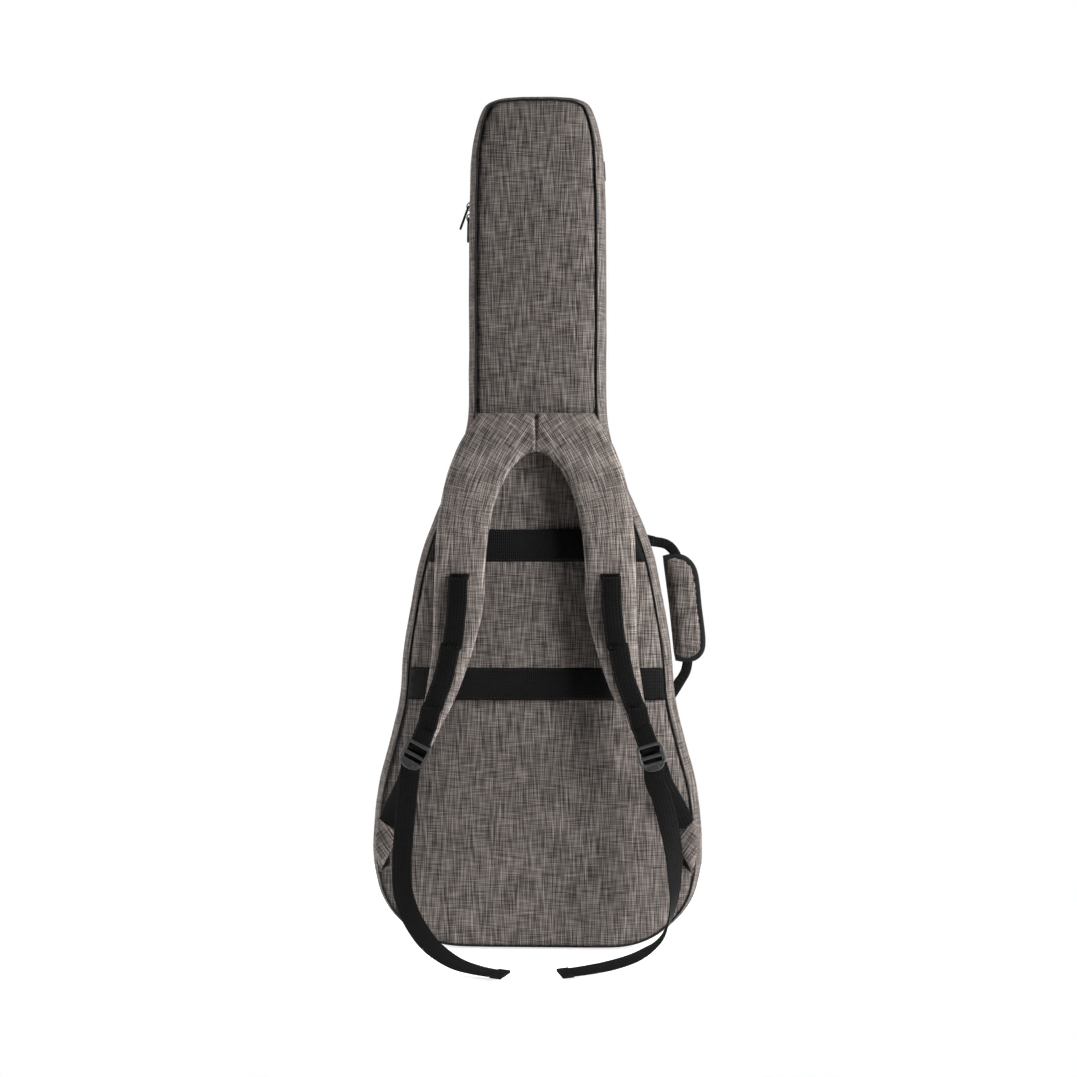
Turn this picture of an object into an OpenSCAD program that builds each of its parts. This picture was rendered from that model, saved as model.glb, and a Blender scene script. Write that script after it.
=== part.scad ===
// Padded gig bag for an acoustic guitar, standing upright on its base.
// Frame: +Z up, X across the bag, +X is the handle side, -Y is the strap side, +Y the lid side.
// The origin is on the floor, in the middle of the flat base.

/* [Bag body] */
// Height from the floor to the top of the neck
bag_h = 1090; // [1000:1150]
// Width across the lower bout
body_w = 422; // [390:460]
// Width of the neck section
neck_w = 176; // [160:190]
// Depth from the back panel to the front panel
bag_d = 124; // [116:150]
// Inset of the piping from the widest line of the side wall
piping_inset = 9; // [8:12]
// Thickness of the foam in panels and walls
foam_t = 8; // [5:10]

/* [Main zip] */
// Distance of the zip line from the front face
zip_from_front = 37; // [34:44]
// Width of one zip tape
tape_w = 9; // [8:10]
// Height of the zip end on the lower bout
zip_low_z = 52; // [30:120]
// Height of the zip end on the neck
zip_high_z = 1000; // [960:1020]
// Height of the meeting point of the two sliders
slider_z = 951; // [900:960]

/* [Shoulder straps] */
// Height of the yoke seam
yoke_z = 682; // [670:700]
// Thickness of the strap pads
pad_t = 14; // [10:18]
// Angle at which the straps hang away from the back
strap_lean = 5.5; // [4:8]
// Width of the strap webbing
web_w = 25; // [20:28]
// Turn of the left ladder lock in the plane of the strap
left_lock_turn = 28; // [10:30]
// Turn of the right ladder lock in the plane of the strap
right_lock_turn = 16; // [10:30]

/* [Back bands] */
// Width of the two webbing bands
band_w = 41; // [30:50]
// Height of the lower edge of the lower band
band_low_z = 318; // [300:340]
// Height of the upper edge of the upper band
band_high_z = 534; // [510:550]

/* [Handle] */
// Height of the upper anchor
handle_high_z = 519; // [510:530]
// Height of the lower anchor
handle_low_z = 333; // [325:340]
// Thickness of the padded grip
grip_t = 12; // [10:16]

/* [Pocket] */
// Depth of the accessory pocket
pocket_d = 28; // [20:40]
// Height of the top edge of the pocket
pocket_top_z = 464; // [440:500]

/* [Hidden] */

fabric = [0.40, 0.37, 0.35];
webbing = [0.10, 0.10, 0.10];
plastic = [0.16, 0.16, 0.17];
lining = [0.20, 0.20, 0.22];
foam = [0.75, 0.74, 0.70];
metal = [0.25, 0.25, 0.27];

LEFT = -1;
RIGHT = 1;
body_half = body_w / 2;
neck_half = neck_w / 2;
skin_t = 2;                          // thickness of a fabric skin
lining_t = 1.5;                      // thickness of the lining
web_t = 2;                           // thickness of webbing
piping_d = 5;                        // thickness of the piping cord
back_y = -bag_d / 2;                 // outer face of the back panel
front_y = bag_d / 2;                 // outer face of the front panel
zip_y = front_y - zip_from_front;    // plane that parts the lid from the back
tape_gap = 1;                        // half the gap that the slider's neck runs in
wall_y = 8;                          // depth of the turn between a panel and the side wall
inner_inset = skin_t + foam_t;       // inset of the lining
$fn = 32;

// ---------- Curves ----------

// Point at t from 0 to 1 between b and c on a Catmull-Rom curve through a, b, c and d
function spline_point(a, b, c, d, t) =
    0.5 * (2 * b + (c - a) * t + (2 * a - 5 * b + 4 * c - d) * t * t
    + (3 * b - a - 3 * c + d) * t * t * t);

// Item i of a list, where i runs past neither end
function clamped(p, i) = p[max(0, min(len(p) - 1, i))];

// Open curve through the points p with the given number of steps between neighbours
function spline(p, steps) = [
    for (i = [0 : len(p) - 2], k = [0 : steps - 1])
        spline_point(clamped(p, i - 1), p[i], p[i + 1], clamped(p, i + 2), k / steps),
    p[len(p) - 1]
];

function mirror_x(p) = [for (i = [len(p) - 1 : -1 : 0]) [-p[i][0], p[i][1]]];
function unit(v) = v / norm(v);
function between(a, b, t) = a + (b - a) * t;
function reversed(p) = [for (i = [len(p) - 1 : -1 : 0]) p[i]];

// ---------- Outline of the bag ----------

// Right half of the outline, from the middle of the base to the top
half_outline = [
    [0, 0],
    [body_half * 0.30, 0],
    [body_half * 0.54, 2],
    [body_half * 0.70, 13],
    [body_half * 0.82, 31],
    [body_half * 0.91, 52],
    [body_half * 0.97, 80],
    [body_half, 126],
    [body_half * 0.972, 200],
    [body_half * 0.90, 262],
    [body_half * 0.84, 318],
    [body_half * 0.815, 376],
    [body_half * 0.773, 435],
    [body_half * 0.71, 500],
    [body_half * 0.63, 548],
    [between(neck_half, body_half * 0.63, 0.50), 600],
    [between(neck_half, body_half * 0.63, 0.12), 655],
    [neck_half, 700],
    [neck_half, 800],
    [neck_half * 0.995, 900],
    [neck_half * 0.985, bag_h - 120],
    [neck_half * 0.94, bag_h - 60],
    [neck_half * 0.80, bag_h - 17],
    [neck_half * 0.60, bag_h - 4],
    [neck_half * 0.30, bag_h - 0.5],
    [0, bag_h]
];
curve_steps = 3;
// The curve is held level where the bag stands on the floor
right_line = [for (p = spline(half_outline, curve_steps)) [p[0], max(0, min(bag_h, p[1]))]];
half_count = len(right_line) - 1;
outline = concat(right_line, [for (i = [1 : half_count - 1]) let (p = mirror_x(right_line)) p[i]]);
count = len(outline);

function ring_item(p, i) = p[((i % len(p)) + len(p)) % len(p)];

// Point i of a closed line, moved inwards by d
function inset_point(p, i, d) =
    let (along = unit(ring_item(p, i + 1) - ring_item(p, i - 1)))
    ring_item(p, i) + d * [-along[1], along[0]];

function inset(p, d) = [for (i = [0 : len(p) - 1]) inset_point(p, i, d)];

// Strip between two insets of a closed line, from point i0 to point i1
function strip(p, i0, i1, d0, d1) = concat(
    [for (i = [i0 : i1]) inset_point(p, i, d0)],
    [for (i = [i1 : -1 : i0]) inset_point(p, i, d1)]
);

// Number of the first outline point at or above height z, on the right or the left side
function right_index(z) = min([for (i = [0 : half_count]) if (outline[i][1] >= z) i]);
function left_index(z) = count - right_index(z);

// Flat shape in X and Z, given depth from y0 to y1
module depth(y0, y1) {
    translate([0, y1, 0])
        rotate([90, 0, 0])
            linear_extrude(y1 - y0)
                children();
}

module slab(p, d, y0, y1) {
    depth(y0, y1) polygon(inset(p, d));
}

module wall(p, i0, i1, d0, d1, y0, y1) {
    depth(y0, y1) polygon(strip(p, i0, i1, d0, d1));
}

module ring(p, d0, d1, y0, y1) {
    depth(y0, y1)
        difference() {
            polygon(inset(p, d0));
            polygon(inset(p, d1));
        }
}

// ---------- Back half ----------

base_i = right_index(45);
neck_i = right_index(690);
hinge_low_i = right_index(zip_low_z);
hinge_high_i = right_index(zip_high_z);
tape_y0 = zip_y - tape_gap - tape_w;
tape_y1 = zip_y + tape_gap + tape_w;
fold_gap = 0.2;                      // half the gap between back and lid on the hinge side

module back_panel() {
    color(fabric) slab(outline, piping_inset, back_y, back_y + skin_t);
}

module back_foam() {
    color(foam) slab(outline, inner_inset, back_y + skin_t, back_y + skin_t + foam_t);
}

// One fabric tub: its floor lies on the foam and its wall reaches the zip
module back_lining() {
    floor_y = back_y + skin_t + foam_t;
    color(lining) {
        slab(outline, inner_inset, floor_y, floor_y + lining_t);
        ring(outline, inner_inset, inner_inset + lining_t, floor_y + lining_t, tape_y0);
    }
}

module back_piping() {
    color(webbing) ring(outline, piping_inset - piping_d, piping_inset, back_y, back_y + wall_y);
}

module base_gusset() {
    color(fabric) wall(outline, count - base_i, count + base_i, 0, skin_t, back_y + wall_y, tape_y0);
}

module side_gusset_left() {
    color(fabric) wall(outline, count - neck_i, count - base_i, 0, skin_t, back_y + wall_y, tape_y0);
}

// On this side the fabric runs on as the hinge of the lid
module side_gusset_right() {
    color(fabric) {
        wall(outline, base_i, neck_i, 0, skin_t, back_y + wall_y, tape_y0);
        wall(outline, hinge_low_i, neck_i, 0, skin_t, tape_y0, zip_y - fold_gap);
    }
}

module neck_gusset() {
    color(fabric) {
        wall(outline, neck_i, count - neck_i, 0, skin_t, back_y + wall_y, tape_y0);
        wall(outline, neck_i, hinge_high_i, 0, skin_t, tape_y0, zip_y - fold_gap);
    }
}

module wall_foam() {
    color(foam) ring(outline, skin_t, inner_inset, back_y + wall_y, tape_y0);
}

module zip_tape(y0, y1) {
    color(webbing) wall(outline, hinge_high_i, count + hinge_low_i, 1, 1 + skin_t, y0, y1);
}

module zip_tape_back() {
    zip_tape(tape_y0, zip_y - tape_gap);
}

// Fabric tabs sewn over the two ends of the zip
module zip_end_tabs() {
    tab_t = 2.5;
    color(webbing)
        for (i = [hinge_low_i - 1, hinge_high_i])
            wall(outline, i, i + 1, -tab_t, 0, tape_y0 - 4, zip_y - fold_gap);
}

// ---------- Zip sliders and pulls ----------

slider_l = 13;
slider_w = 10;
plate_x = -neck_half - 1;            // inner face of the slider's outer plate
plate_t = 2.4;
bail_r = 2.0;
pin_r = 1.1;
slider_gap = 2;                      // gap between the two main sliders
upper_pivot_z = slider_z + (slider_l + slider_gap) / 2;
lower_pivot_z = slider_z - (slider_l + slider_gap) / 2;
pivot_x = plate_x - plate_t - bail_r;

// Slider on the left side of the neck, with its middle at height z
module zip_slider(z) {
    neck_t = 1.2;
    inner_x = plate_x + 8;
    color(metal)
        translate([0, zip_y, z]) {
            translate([plate_x - plate_t, -slider_w / 2, -slider_l / 2])
                cube([plate_t, slider_w, slider_l]);
            translate([plate_x, -neck_t / 2, -slider_l / 4])
                cube([inner_x - plate_x, neck_t, slider_l / 2]);
            translate([inner_x, -slider_w / 2, -slider_l / 2])
                cube([1.5, slider_w / 2 + neck_t / 2, slider_l]);
            translate([pivot_x, 0, 0])
                difference() {
                    translate([-bail_r, -1.5, -3.5])
                        cube([2 * bail_r, 3, 7]);
                    rotate([90, 0, 0])
                        cylinder(r = pin_r + 0.3, h = 10, center = true);
                }
        }
}

// Pull with its pin through the bail; it hangs down and leans outwards by lean degrees
module zip_pull(z, lean) {
    pull_l = 32;
    pull_w = 7;
    color(metal)
        translate([pivot_x, zip_y, z])
            rotate([0, lean, 0])
                difference() {
                    union() {
                        rotate([90, 0, 0])
                            cylinder(r = pin_r, h = pull_w, center = true);
                        for (side = [-1, 1])
                            translate([-1.2, side * (pull_w / 2 - 0.75) - 0.75, -8])
                                cube([2.4, 1.5, 8]);
                        translate([-1.2, -pull_w / 2, -pull_l])
                            cube([2.4, pull_w, pull_l - 7]);
                    }
                    translate([0, 0, -pull_l + 6])
                        rotate([0, 90, 0])
                            cylinder(r = 1.5, h = 10, center = true);
                }
}

module upper_slider() {
    zip_slider(upper_pivot_z);
}

module lower_slider() {
    zip_slider(lower_pivot_z);
}

module upper_pull() {
    zip_pull(upper_pivot_z, 20);
}

module lower_pull() {
    zip_pull(lower_pivot_z, 1);
}

// ---------- Bands and sleeve on the back ----------

// Part of the back panel's area between two heights
module back_strip(z0, z1, y0, y1) {
    depth(y0, y1)
        intersection() {
            polygon(inset(outline, piping_inset + 0.5));
            translate([-body_w, z0])
                square([2 * body_w, z1 - z0]);
        }
}

module back_sleeve() {
    color(fabric) back_strip(band_low_z + 2, band_high_z - 2, back_y - 1.5, back_y);
}

module band_upper() {
    color(webbing) back_strip(band_high_z - band_w, band_high_z, back_y - 1.5 - web_t, back_y - 1.5);
}

module band_lower() {
    color(webbing) back_strip(band_low_z, band_low_z + band_w, back_y - 1.5 - web_t, back_y - 1.5);
}

// ---------- Shoulder straps ----------

yoke_low_z = yoke_z - 54;            // line at which the straps start to swing
pad_gap = 3.5;                       // room for the pad's edge to turn in
pad_y = back_y - 0.6;                // back face of the pads at the swing line
strap_axis = [0, pad_y - pad_t / 2, yoke_low_z];

yoke_outer = [[73.5, yoke_z], [86, yoke_z - 20], [97, yoke_z - 39], [104, yoke_low_z]];
yoke_arch = [[14, yoke_low_z], [10, yoke_low_z + 2.5], [5, yoke_low_z + 4], [0, yoke_low_z + 4.5]];
pad_outer = [
    [105.5, yoke_low_z - pad_gap], [112, 605], [119, 574], [125, 533], [127, 491],
    [128, 446], [129, 390], [134, 345], [141, 305], [152, 276]
];
pad_inner = [
    [129, 260], [115, 290], [100, 320], [84, 362], [70, 410], [64, 446], [62, 497],
    [57, 540], [46, 580], [32, 609], [17, yoke_low_z - pad_gap]
];
web_line = [[95, 478], [97, 440], [103, 395], [113, 350], [125, 318], [140.5, 268]];

// Strap parts are drawn on the right, in the plane of the hanging strap
module strap_side(side) {
    mirror([side < 0 ? 1 : 0, 0, 0])
        translate(strap_axis)
            rotate([-strap_lean, 0, 0])
                translate(-strap_axis)
                    children();
}

// Outline of a band of width w that follows a line
function band(p, w) = concat(
    [for (i = [0 : len(p) - 1]) band_point(p, i, w / 2)],
    [for (i = [len(p) - 1 : -1 : 0]) band_point(p, i, -w / 2)]
);
function band_point(p, i, d) =
    let (along = unit(clamped(p, i + 1) - clamped(p, i - 1)))
    p[i] + d * [-along[1], along[0]];

pad_outer_line = spline(pad_outer, 2);
pad_inner_line = spline(pad_inner, 2);
pad_line = concat(pad_outer_line, pad_inner_line);

module yoke_half() {
    color(fabric)
        depth(back_y - pad_t, back_y)
            polygon(concat(spline(yoke_outer, 2), spline(yoke_arch, 2), [[0, yoke_z]]));
}

module yoke_right() {
    yoke_half();
}

module yoke_left() {
    mirror([1, 0, 0]) yoke_half();
}

pad_skin = 2;
pad_edge = 6;                        // width of the flat edge that the foam stays clear of

// Foam inside a pad: gap is its distance from the skin, top how far it reaches past the pad's seam
module pad_core(gap, top) {
    inwards = -pad_edge - gap;
    outer = [for (i = [0 : len(pad_outer_line) - 2]) band_point(pad_outer_line, i, inwards)];
    inner = [for (i = [1 : len(pad_inner_line) - 1]) band_point(pad_inner_line, i, inwards)];
    depth(pad_y - pad_t + pad_skin + gap, pad_y - pad_skin - gap)
        intersection() {
            polygon(concat([outer[0] + [0, 9]], outer, inner, [inner[len(inner) - 1] + [0, 9]]));
            square([body_w / 2, pad_outer_line[0][1] + top]);
        }
}

module strap_pad(side) {
    color(fabric)
        strap_side(side)
            difference() {
                depth(pad_y - pad_t, pad_y) polygon(pad_line);
                pad_core(0, 3);
            }
}

module strap_foam(side) {
    color(foam) strap_side(side) pad_core(0.3, 0);
}

lock_bar = [144.5, 0, 257];          // middle of the ladder lock's top bar, before the lean
lock_y = pad_y - pad_t - web_t / 2;
bar_r = 2.6;
loop_r = bar_r + 0.5;

function lock_turn(side) = side < 0 ? left_lock_turn : right_lock_turn;

// Places a ladder lock's own frame: X along its bars, -Z down the strap
module lock_frame(side) {
    strap_side(side)
        translate([lock_bar[0], lock_y, lock_bar[2]])
            rotate([0, -lock_turn(side), 0])
                children();
}

// Webbing sewn down the pad, ending in a loop round the lock's top bar
module strap_web(side) {
    color(webbing) {
        strap_side(side)
            depth(pad_y - pad_t - web_t, pad_y - pad_t)
                polygon(band(spline(web_line, 3), web_w));
        lock_frame(side)
            rotate([0, 90, 0])
                difference() {
                    cylinder(r = loop_r + web_t, h = web_w, center = true);
                    cylinder(r = loop_r, h = web_w + 2, center = true);
                }
    }
}

lock_w = 38;
lock_l = 27;
rail_w = 4;
lock_t = 5;

module ladder_lock(side) {
    rail_x = lock_w / 2 - rail_w;
    color(plastic)
        lock_frame(side) {
            rotate([0, 90, 0])
                cylinder(r = bar_r, h = lock_w - 2, center = true);
            for (x = [-lock_w / 2, rail_x])
                translate([x, -lock_t / 2, -lock_l])
                    cube([rail_w, lock_t, lock_l + bar_r]);
            for (z = [-lock_l / 2 - 1, -lock_l + 2.5])
                translate([0, 0, z])
                    rotate([0, 90, 0])
                        cylinder(r = 2.4, h = lock_w - 2, center = true);
            translate([-11, -lock_t / 2, -lock_l - 7])
                cube([22, 3.5, 8]);
        }
}

// ---------- Webbing tails ----------

// Each stop on a tail is a point and the direction of the web's width there
tail_left_stops = [
    [[-157, -107, 219], [1, 0, 0]],
    [[-160, -108, 190], [1, 0, 0]],
    [[-163, -111, 154], [1, 0, 0]],
    [[-165, -117, 118], [1, 0, 0.05]],
    [[-162.5, -129, 85], [1, 0, 0.15]],
    [[-153, -147, 61], [0.92, 0.25, 0.3]],
    [[-139, -169, 42.5], [0.75, 0.5, 0.42]],
    [[-121.5, -195, 27.5], [0.58, 0.72, 0.4]],
    [[-101, -221, 17.5], [0.42, 0.84, 0.34]],
    [[-80, -243, 11.5], [0.3, 0.91, 0.28]],
    [[-54, -262, 8.5], [0.22, 0.95, 0.2]],
    [[-25, -276, 7], [0.15, 0.97, 0.17]]
];
tail_right_stops = [
    [[151, -107, 219], [1, 0, 0]],
    [[159.5, -107.5, 198], [1, 0.1, 0]],
    [[168, -109, 165], [0.97, 0.25, 0]],
    [[174, -112, 134], [0.88, 0.47, 0]],
    [[175.5, -119, 100], [0.65, 0.75, 0]],
    [[173.5, -131, 72], [0.35, 0.93, 0]],
    [[167.5, -147, 50.5], [0.1, 0.95, -0.15]],
    [[158, -168, 34.5], [-0.1, 0.95, -0.1]],
    [[142.5, -192, 24], [-0.2, 0.95, 0.05]],
    [[122.5, -216, 16.5], [-0.3, 0.93, 0.17]],
    [[96.5, -238, 12], [-0.33, 0.92, 0.22]],
    [[68.5, -256, 9.5], [-0.32, 0.92, 0.22]],
    [[39.5, -268, 7.5], [-0.28, 0.94, 0.2]]
];

function points_of(stops) = [for (s = stops) s[0]];
function widths_of(stops) = [for (s = stops) s[1]];

// Corners of a web's section at ring i of the line p, with the width directions w
function web_section(p, w, i, width, thick) =
    let (
        along = unit(clamped(p, i + 1) - clamped(p, i - 1)),
        across = unit(w[i] - (w[i] * along) * along),
        off = cross(along, across)
    )
    [for (c = [[-1, -1], [1, -1], [1, 1], [-1, 1]]) p[i] + across * c[0] * width / 2 + off * c[1] * thick / 2];

// Webbing swept along a line, from ring i0 to ring i1
module web_sweep(p, w, i0, i1, width, thick) {
    rings = i1 - i0 + 1;
    points = [for (i = [i0 : i1], q = web_section(p, w, i, width, thick)) q];
    sides = [
        for (i = [0 : rings - 2], k = [0 : 3])
            [4 * i + k, 4 * i + (k + 1) % 4, 4 * i + 4 + (k + 1) % 4, 4 * i + 4 + k]
    ];
    last = 4 * (rings - 1);
    faces = concat(sides, [[3, 2, 1, 0]], [[last, last + 1, last + 2, last + 3]]);
    polyhedron(points, [for (f = faces) reversed(f)], convexity = 4);
}

tail_steps = 3;
tail_t = 2.4;
hem_rings = 2;

module tail(stops) {
    p = spline(points_of(stops), tail_steps);
    w = spline(widths_of(stops), tail_steps);
    color(webbing) web_sweep(p, w, 0, len(p) - 1 - hem_rings, web_w, tail_t);
}

module tail_hem(stops) {
    p = spline(points_of(stops), tail_steps);
    w = spline(widths_of(stops), tail_steps);
    color(webbing) web_sweep(p, w, len(p) - 1 - hem_rings, len(p) - 1, web_w + 0.5, tail_t * 2);
}

// ---------- Lower webs and their tabs ----------

lower_web_stops = [
    [[189.5, -64.2, 160.2], [0.78, 0, 0.62]],
    [[181, -71, 178], [0.85, 0, 0.5]],
    [[169, -84, 201], [0.9, 0, 0.4]],
    [[161, -93, 215], [0.95, 0, 0.3]]
];

// Triangle of fabric sewn in the side seam, with its tip towards the strap
module side_tab(side) {
    color(fabric)
        mirror([side < 0 ? 1 : 0, 0, 0])
            depth(back_y - 3, back_y - 0.2)
                polygon([[201, 97], [206, 132], [203, 168], [178, 148]]);
}

module lower_web(side) {
    p = spline(points_of(lower_web_stops), 2);
    w = spline(widths_of(lower_web_stops), 2);
    color(webbing)
        mirror([side < 0 ? 1 : 0, 0, 0])
            web_sweep(p, w, 0, len(p) - 1, web_w, web_t);
}

// ---------- Carrying handle ----------

handle_y = -25;                      // plane in which the handle stands out
handle_high = [150.5, handle_high_z];
handle_low = [179.5, handle_low_z];
handle_line = [
    handle_high + [1.5, 0], [164, 516], [174, 508], [180, 494], [184, 462], [190, 420],
    [194, 385], [193, 368], [190, 352], handle_low + [8, 6]
];
grip_line = [
    [165, 494], [178, 502], [194, 496], [205, 478], [210, 437], [215, 390], [208, 372], [194, 366],
    [179, 376], [170, 436]
];
handle_web_w = 12;
handle_web_t = 5;

module handle_web_solid() {
    depth(handle_y - handle_web_t / 2, handle_y + handle_web_t / 2)
        polygon(band(spline(handle_line, 3), handle_web_w));
}

module handle_web() {
    color(webbing) handle_web_solid();
}

module handle_grip() {
    color(fabric)
        difference() {
            depth(handle_y - grip_t / 2, handle_y + grip_t / 2) polygon(inset(grip_line, -4));
            handle_web_solid();
        }
}

// Bound edge round the grip
module handle_binding() {
    color(webbing)
        difference() {
            depth(handle_y - grip_t / 2, handle_y + grip_t / 2)
                difference() {
                    polygon(grip_line);
                    polygon(inset(grip_line, -4));
                }
            handle_web_solid();
        }
}

// Patches that carry the webbing's ends on the side wall
module handle_anchors() {
    color(webbing)
        for (z = [handle_high_z, handle_low_z])
            wall(outline, right_index(z) - 1, right_index(z), -web_t, 0, handle_y - 14, handle_y + 14);
}

// ---------- Pieces inside ----------

lining_y = back_y + skin_t + foam_t + lining_t;
inner_neck_half = neck_half - inner_inset - lining_t;

// Foam block with a round groove for the guitar's neck
module neck_rest() {
    rest_z = 735;
    rest_h = 60;
    color(foam)
        difference() {
            translate([-inner_neck_half + 2, lining_y, rest_z])
                cube([2 * inner_neck_half - 4, 46, rest_h]);
            translate([0, lining_y + 50, rest_z - 1])
                cylinder(r = 36, h = rest_h + 2, $fn = 48);
        }
}

// Hook and loop strap that holds the guitar's neck in its rest
module neck_strap(side) {
    x0 = side < 0 ? -inner_neck_half + 2 : 8;
    color(webbing)
        translate([x0, lining_y + 46, 750])
            cube([inner_neck_half - 10, 2, 30]);
}

// Thick foam under the guitar's end
module end_pad() {
    color(foam)
        translate([-90, lining_y, inner_inset + lining_t + 0.5])
            cube([180, tape_y0 - lining_y - 2, 14]);
}

// ---------- Lid ----------

module front_panel() {
    color(fabric) slab(outline, piping_inset, front_y - skin_t, front_y);
}

module front_foam() {
    color(foam) slab(outline, inner_inset, front_y - skin_t - foam_t, front_y - skin_t);
}

module front_lining() {
    floor_y = front_y - skin_t - foam_t;
    color(lining) {
        slab(outline, inner_inset, floor_y - lining_t, floor_y);
        ring(outline, inner_inset, inner_inset + lining_t, tape_y1, floor_y - lining_t);
    }
}

module front_piping() {
    color(webbing) ring(outline, piping_inset - piping_d, piping_inset, front_y - wall_y, front_y);
}

module lid_gusset() {
    color(fabric) {
        ring(outline, 0, skin_t, tape_y1, front_y - wall_y);
        wall(outline, hinge_low_i, hinge_high_i, 0, skin_t, zip_y + fold_gap, tape_y1);
    }
}

module lid_wall_foam() {
    color(foam) ring(outline, skin_t, inner_inset, tape_y1, front_y - wall_y);
}

module zip_tape_front() {
    zip_tape(zip_y + tape_gap, tape_y1);
}

// ---------- Accessory pocket ----------

pocket_half = [
    [0, 58], [85, 60], [140, 82], [172, 132], [170, 200], [156, 262], [146, 318],
    [142, 376], [136, pocket_top_z - 34], [112, pocket_top_z - 9], [70, pocket_top_z - 1],
    [0, pocket_top_z]
];
pocket_right = spline(pocket_half, 2);
pocket_line = concat(
    pocket_right,
    [for (i = [1 : len(pocket_right) - 2]) let (p = mirror_x(pocket_right)) p[i]]
);
pocket_y = front_y + pocket_d;       // outer face of the pocket
pocket_zip_y = front_y + pocket_d * 0.6;
pocket_zip_w = 8;

module pocket_gusset() {
    color(fabric)
        difference() {
            ring(pocket_line, 0, skin_t, front_y, pocket_y - 5);
            translate([-120, pocket_zip_y - pocket_zip_w / 2, pocket_top_z - 12])
                cube([240, pocket_zip_w, 20]);
        }
}

module pocket_zip_tape() {
    color(webbing)
        intersection() {
            ring(pocket_line, 0, skin_t, pocket_zip_y - pocket_zip_w / 2, pocket_zip_y + pocket_zip_w / 2);
            translate([-120, pocket_zip_y - pocket_zip_w / 2, pocket_top_z - 12])
                cube([240, pocket_zip_w, 20]);
        }
}

module pocket_piping() {
    color(webbing) ring(pocket_line, 0, 4, pocket_y - 5, pocket_y);
}

module pocket_panel() {
    color(fabric) slab(pocket_line, 4, pocket_y - 3.5, pocket_y - 1.5);
}

pocket_slider_x = 60;
pocket_slider_z = pocket_top_z + 1;

module pocket_slider() {
    color(metal)
        translate([pocket_slider_x, pocket_zip_y, pocket_slider_z]) {
            translate([-6, -4, 0])
                cube([12, 8, 2]);
            translate([0, 0, 2 + bail_r])
                difference() {
                    translate([-3.5, -1.5, -bail_r])
                        cube([7, 3, 2 * bail_r]);
                    rotate([90, 0, 0])
                        cylinder(r = pin_r + 0.3, h = 10, center = true);
                }
        }
}

// The pull lies along the zip, on top of the pocket
module pocket_pull() {
    pull_l = 30;
    color(metal)
        translate([pocket_slider_x, pocket_zip_y, pocket_slider_z + 2 + bail_r]) {
            rotate([90, 0, 0])
                cylinder(r = pin_r, h = 6, center = true);
            for (y = [-3, 1.8])
                translate([0, y, -1.2])
                    cube([9, 1.2, 2.4]);
            translate([8, -3, -1.2])
                cube([pull_l - 8, 6, 2.4]);
        }
}

back_panel();
back_foam();
back_lining();
back_piping();
base_gusset();
side_gusset_left();
side_gusset_right();
neck_gusset();
wall_foam();
zip_tape_back();
zip_end_tabs();
upper_slider();
lower_slider();
upper_pull();
lower_pull();
band_upper();
band_lower();
back_sleeve();
yoke_left();
yoke_right();
strap_pad(LEFT);  // strap_pad_left
strap_pad(RIGHT);  // strap_pad_right
strap_foam(LEFT);  // strap_foam_left
strap_foam(RIGHT);  // strap_foam_right
strap_web(LEFT);  // strap_web_left
strap_web(RIGHT);  // strap_web_right
ladder_lock(LEFT);  // ladder_lock_left
ladder_lock(RIGHT);  // ladder_lock_right
tail(tail_left_stops);  // strap_tail_left
tail(tail_right_stops);  // strap_tail_right
tail_hem(tail_left_stops);  // tail_hem_left
tail_hem(tail_right_stops);  // tail_hem_right
side_tab(LEFT);  // side_tab_left
side_tab(RIGHT);  // side_tab_right
lower_web(LEFT);  // lower_web_left
lower_web(RIGHT);  // lower_web_right
handle_anchors();
handle_web();
handle_grip();
handle_binding();
neck_rest();
neck_strap(LEFT);  // neck_strap_left
neck_strap(RIGHT);  // neck_strap_right
end_pad();
front_panel();
front_foam();
front_lining();
front_piping();
lid_gusset();
lid_wall_foam();
zip_tape_front();
pocket_panel();
pocket_gusset();
pocket_piping();
pocket_zip_tape();
pocket_slider();
pocket_pull();
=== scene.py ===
"""Looks of a padded gig bag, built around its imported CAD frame. Metres, +Z up, -Y the strap side."""

import math

import bmesh
import bpy
import numpy as np
from mathutils import Matrix, Vector, geometry, noise


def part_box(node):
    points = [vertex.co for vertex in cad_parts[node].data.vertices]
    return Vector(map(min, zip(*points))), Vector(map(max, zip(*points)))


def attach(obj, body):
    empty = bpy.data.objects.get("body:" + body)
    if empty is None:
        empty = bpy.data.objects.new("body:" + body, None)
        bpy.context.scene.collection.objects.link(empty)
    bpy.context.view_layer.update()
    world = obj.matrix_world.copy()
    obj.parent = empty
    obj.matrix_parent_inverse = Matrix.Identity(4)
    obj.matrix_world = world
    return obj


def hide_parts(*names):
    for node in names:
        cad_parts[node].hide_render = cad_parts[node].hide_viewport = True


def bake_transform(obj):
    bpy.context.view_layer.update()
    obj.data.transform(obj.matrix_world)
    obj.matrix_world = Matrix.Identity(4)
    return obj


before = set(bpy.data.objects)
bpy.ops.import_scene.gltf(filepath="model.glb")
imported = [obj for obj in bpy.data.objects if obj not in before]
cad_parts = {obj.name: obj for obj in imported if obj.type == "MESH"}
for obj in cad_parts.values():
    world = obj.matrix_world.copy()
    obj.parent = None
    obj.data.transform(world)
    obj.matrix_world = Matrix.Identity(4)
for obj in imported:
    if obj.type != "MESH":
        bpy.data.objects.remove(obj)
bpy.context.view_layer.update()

# ---------------------------------------------------------------- driving dimensions, from the frame
TAPE_LOW, TAPE_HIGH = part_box("zip_tape_back")
LID_TAPE_LOW, LID_TAPE_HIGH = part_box("zip_tape_front")
BACK_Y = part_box("back_panel")[0][1]
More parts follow.
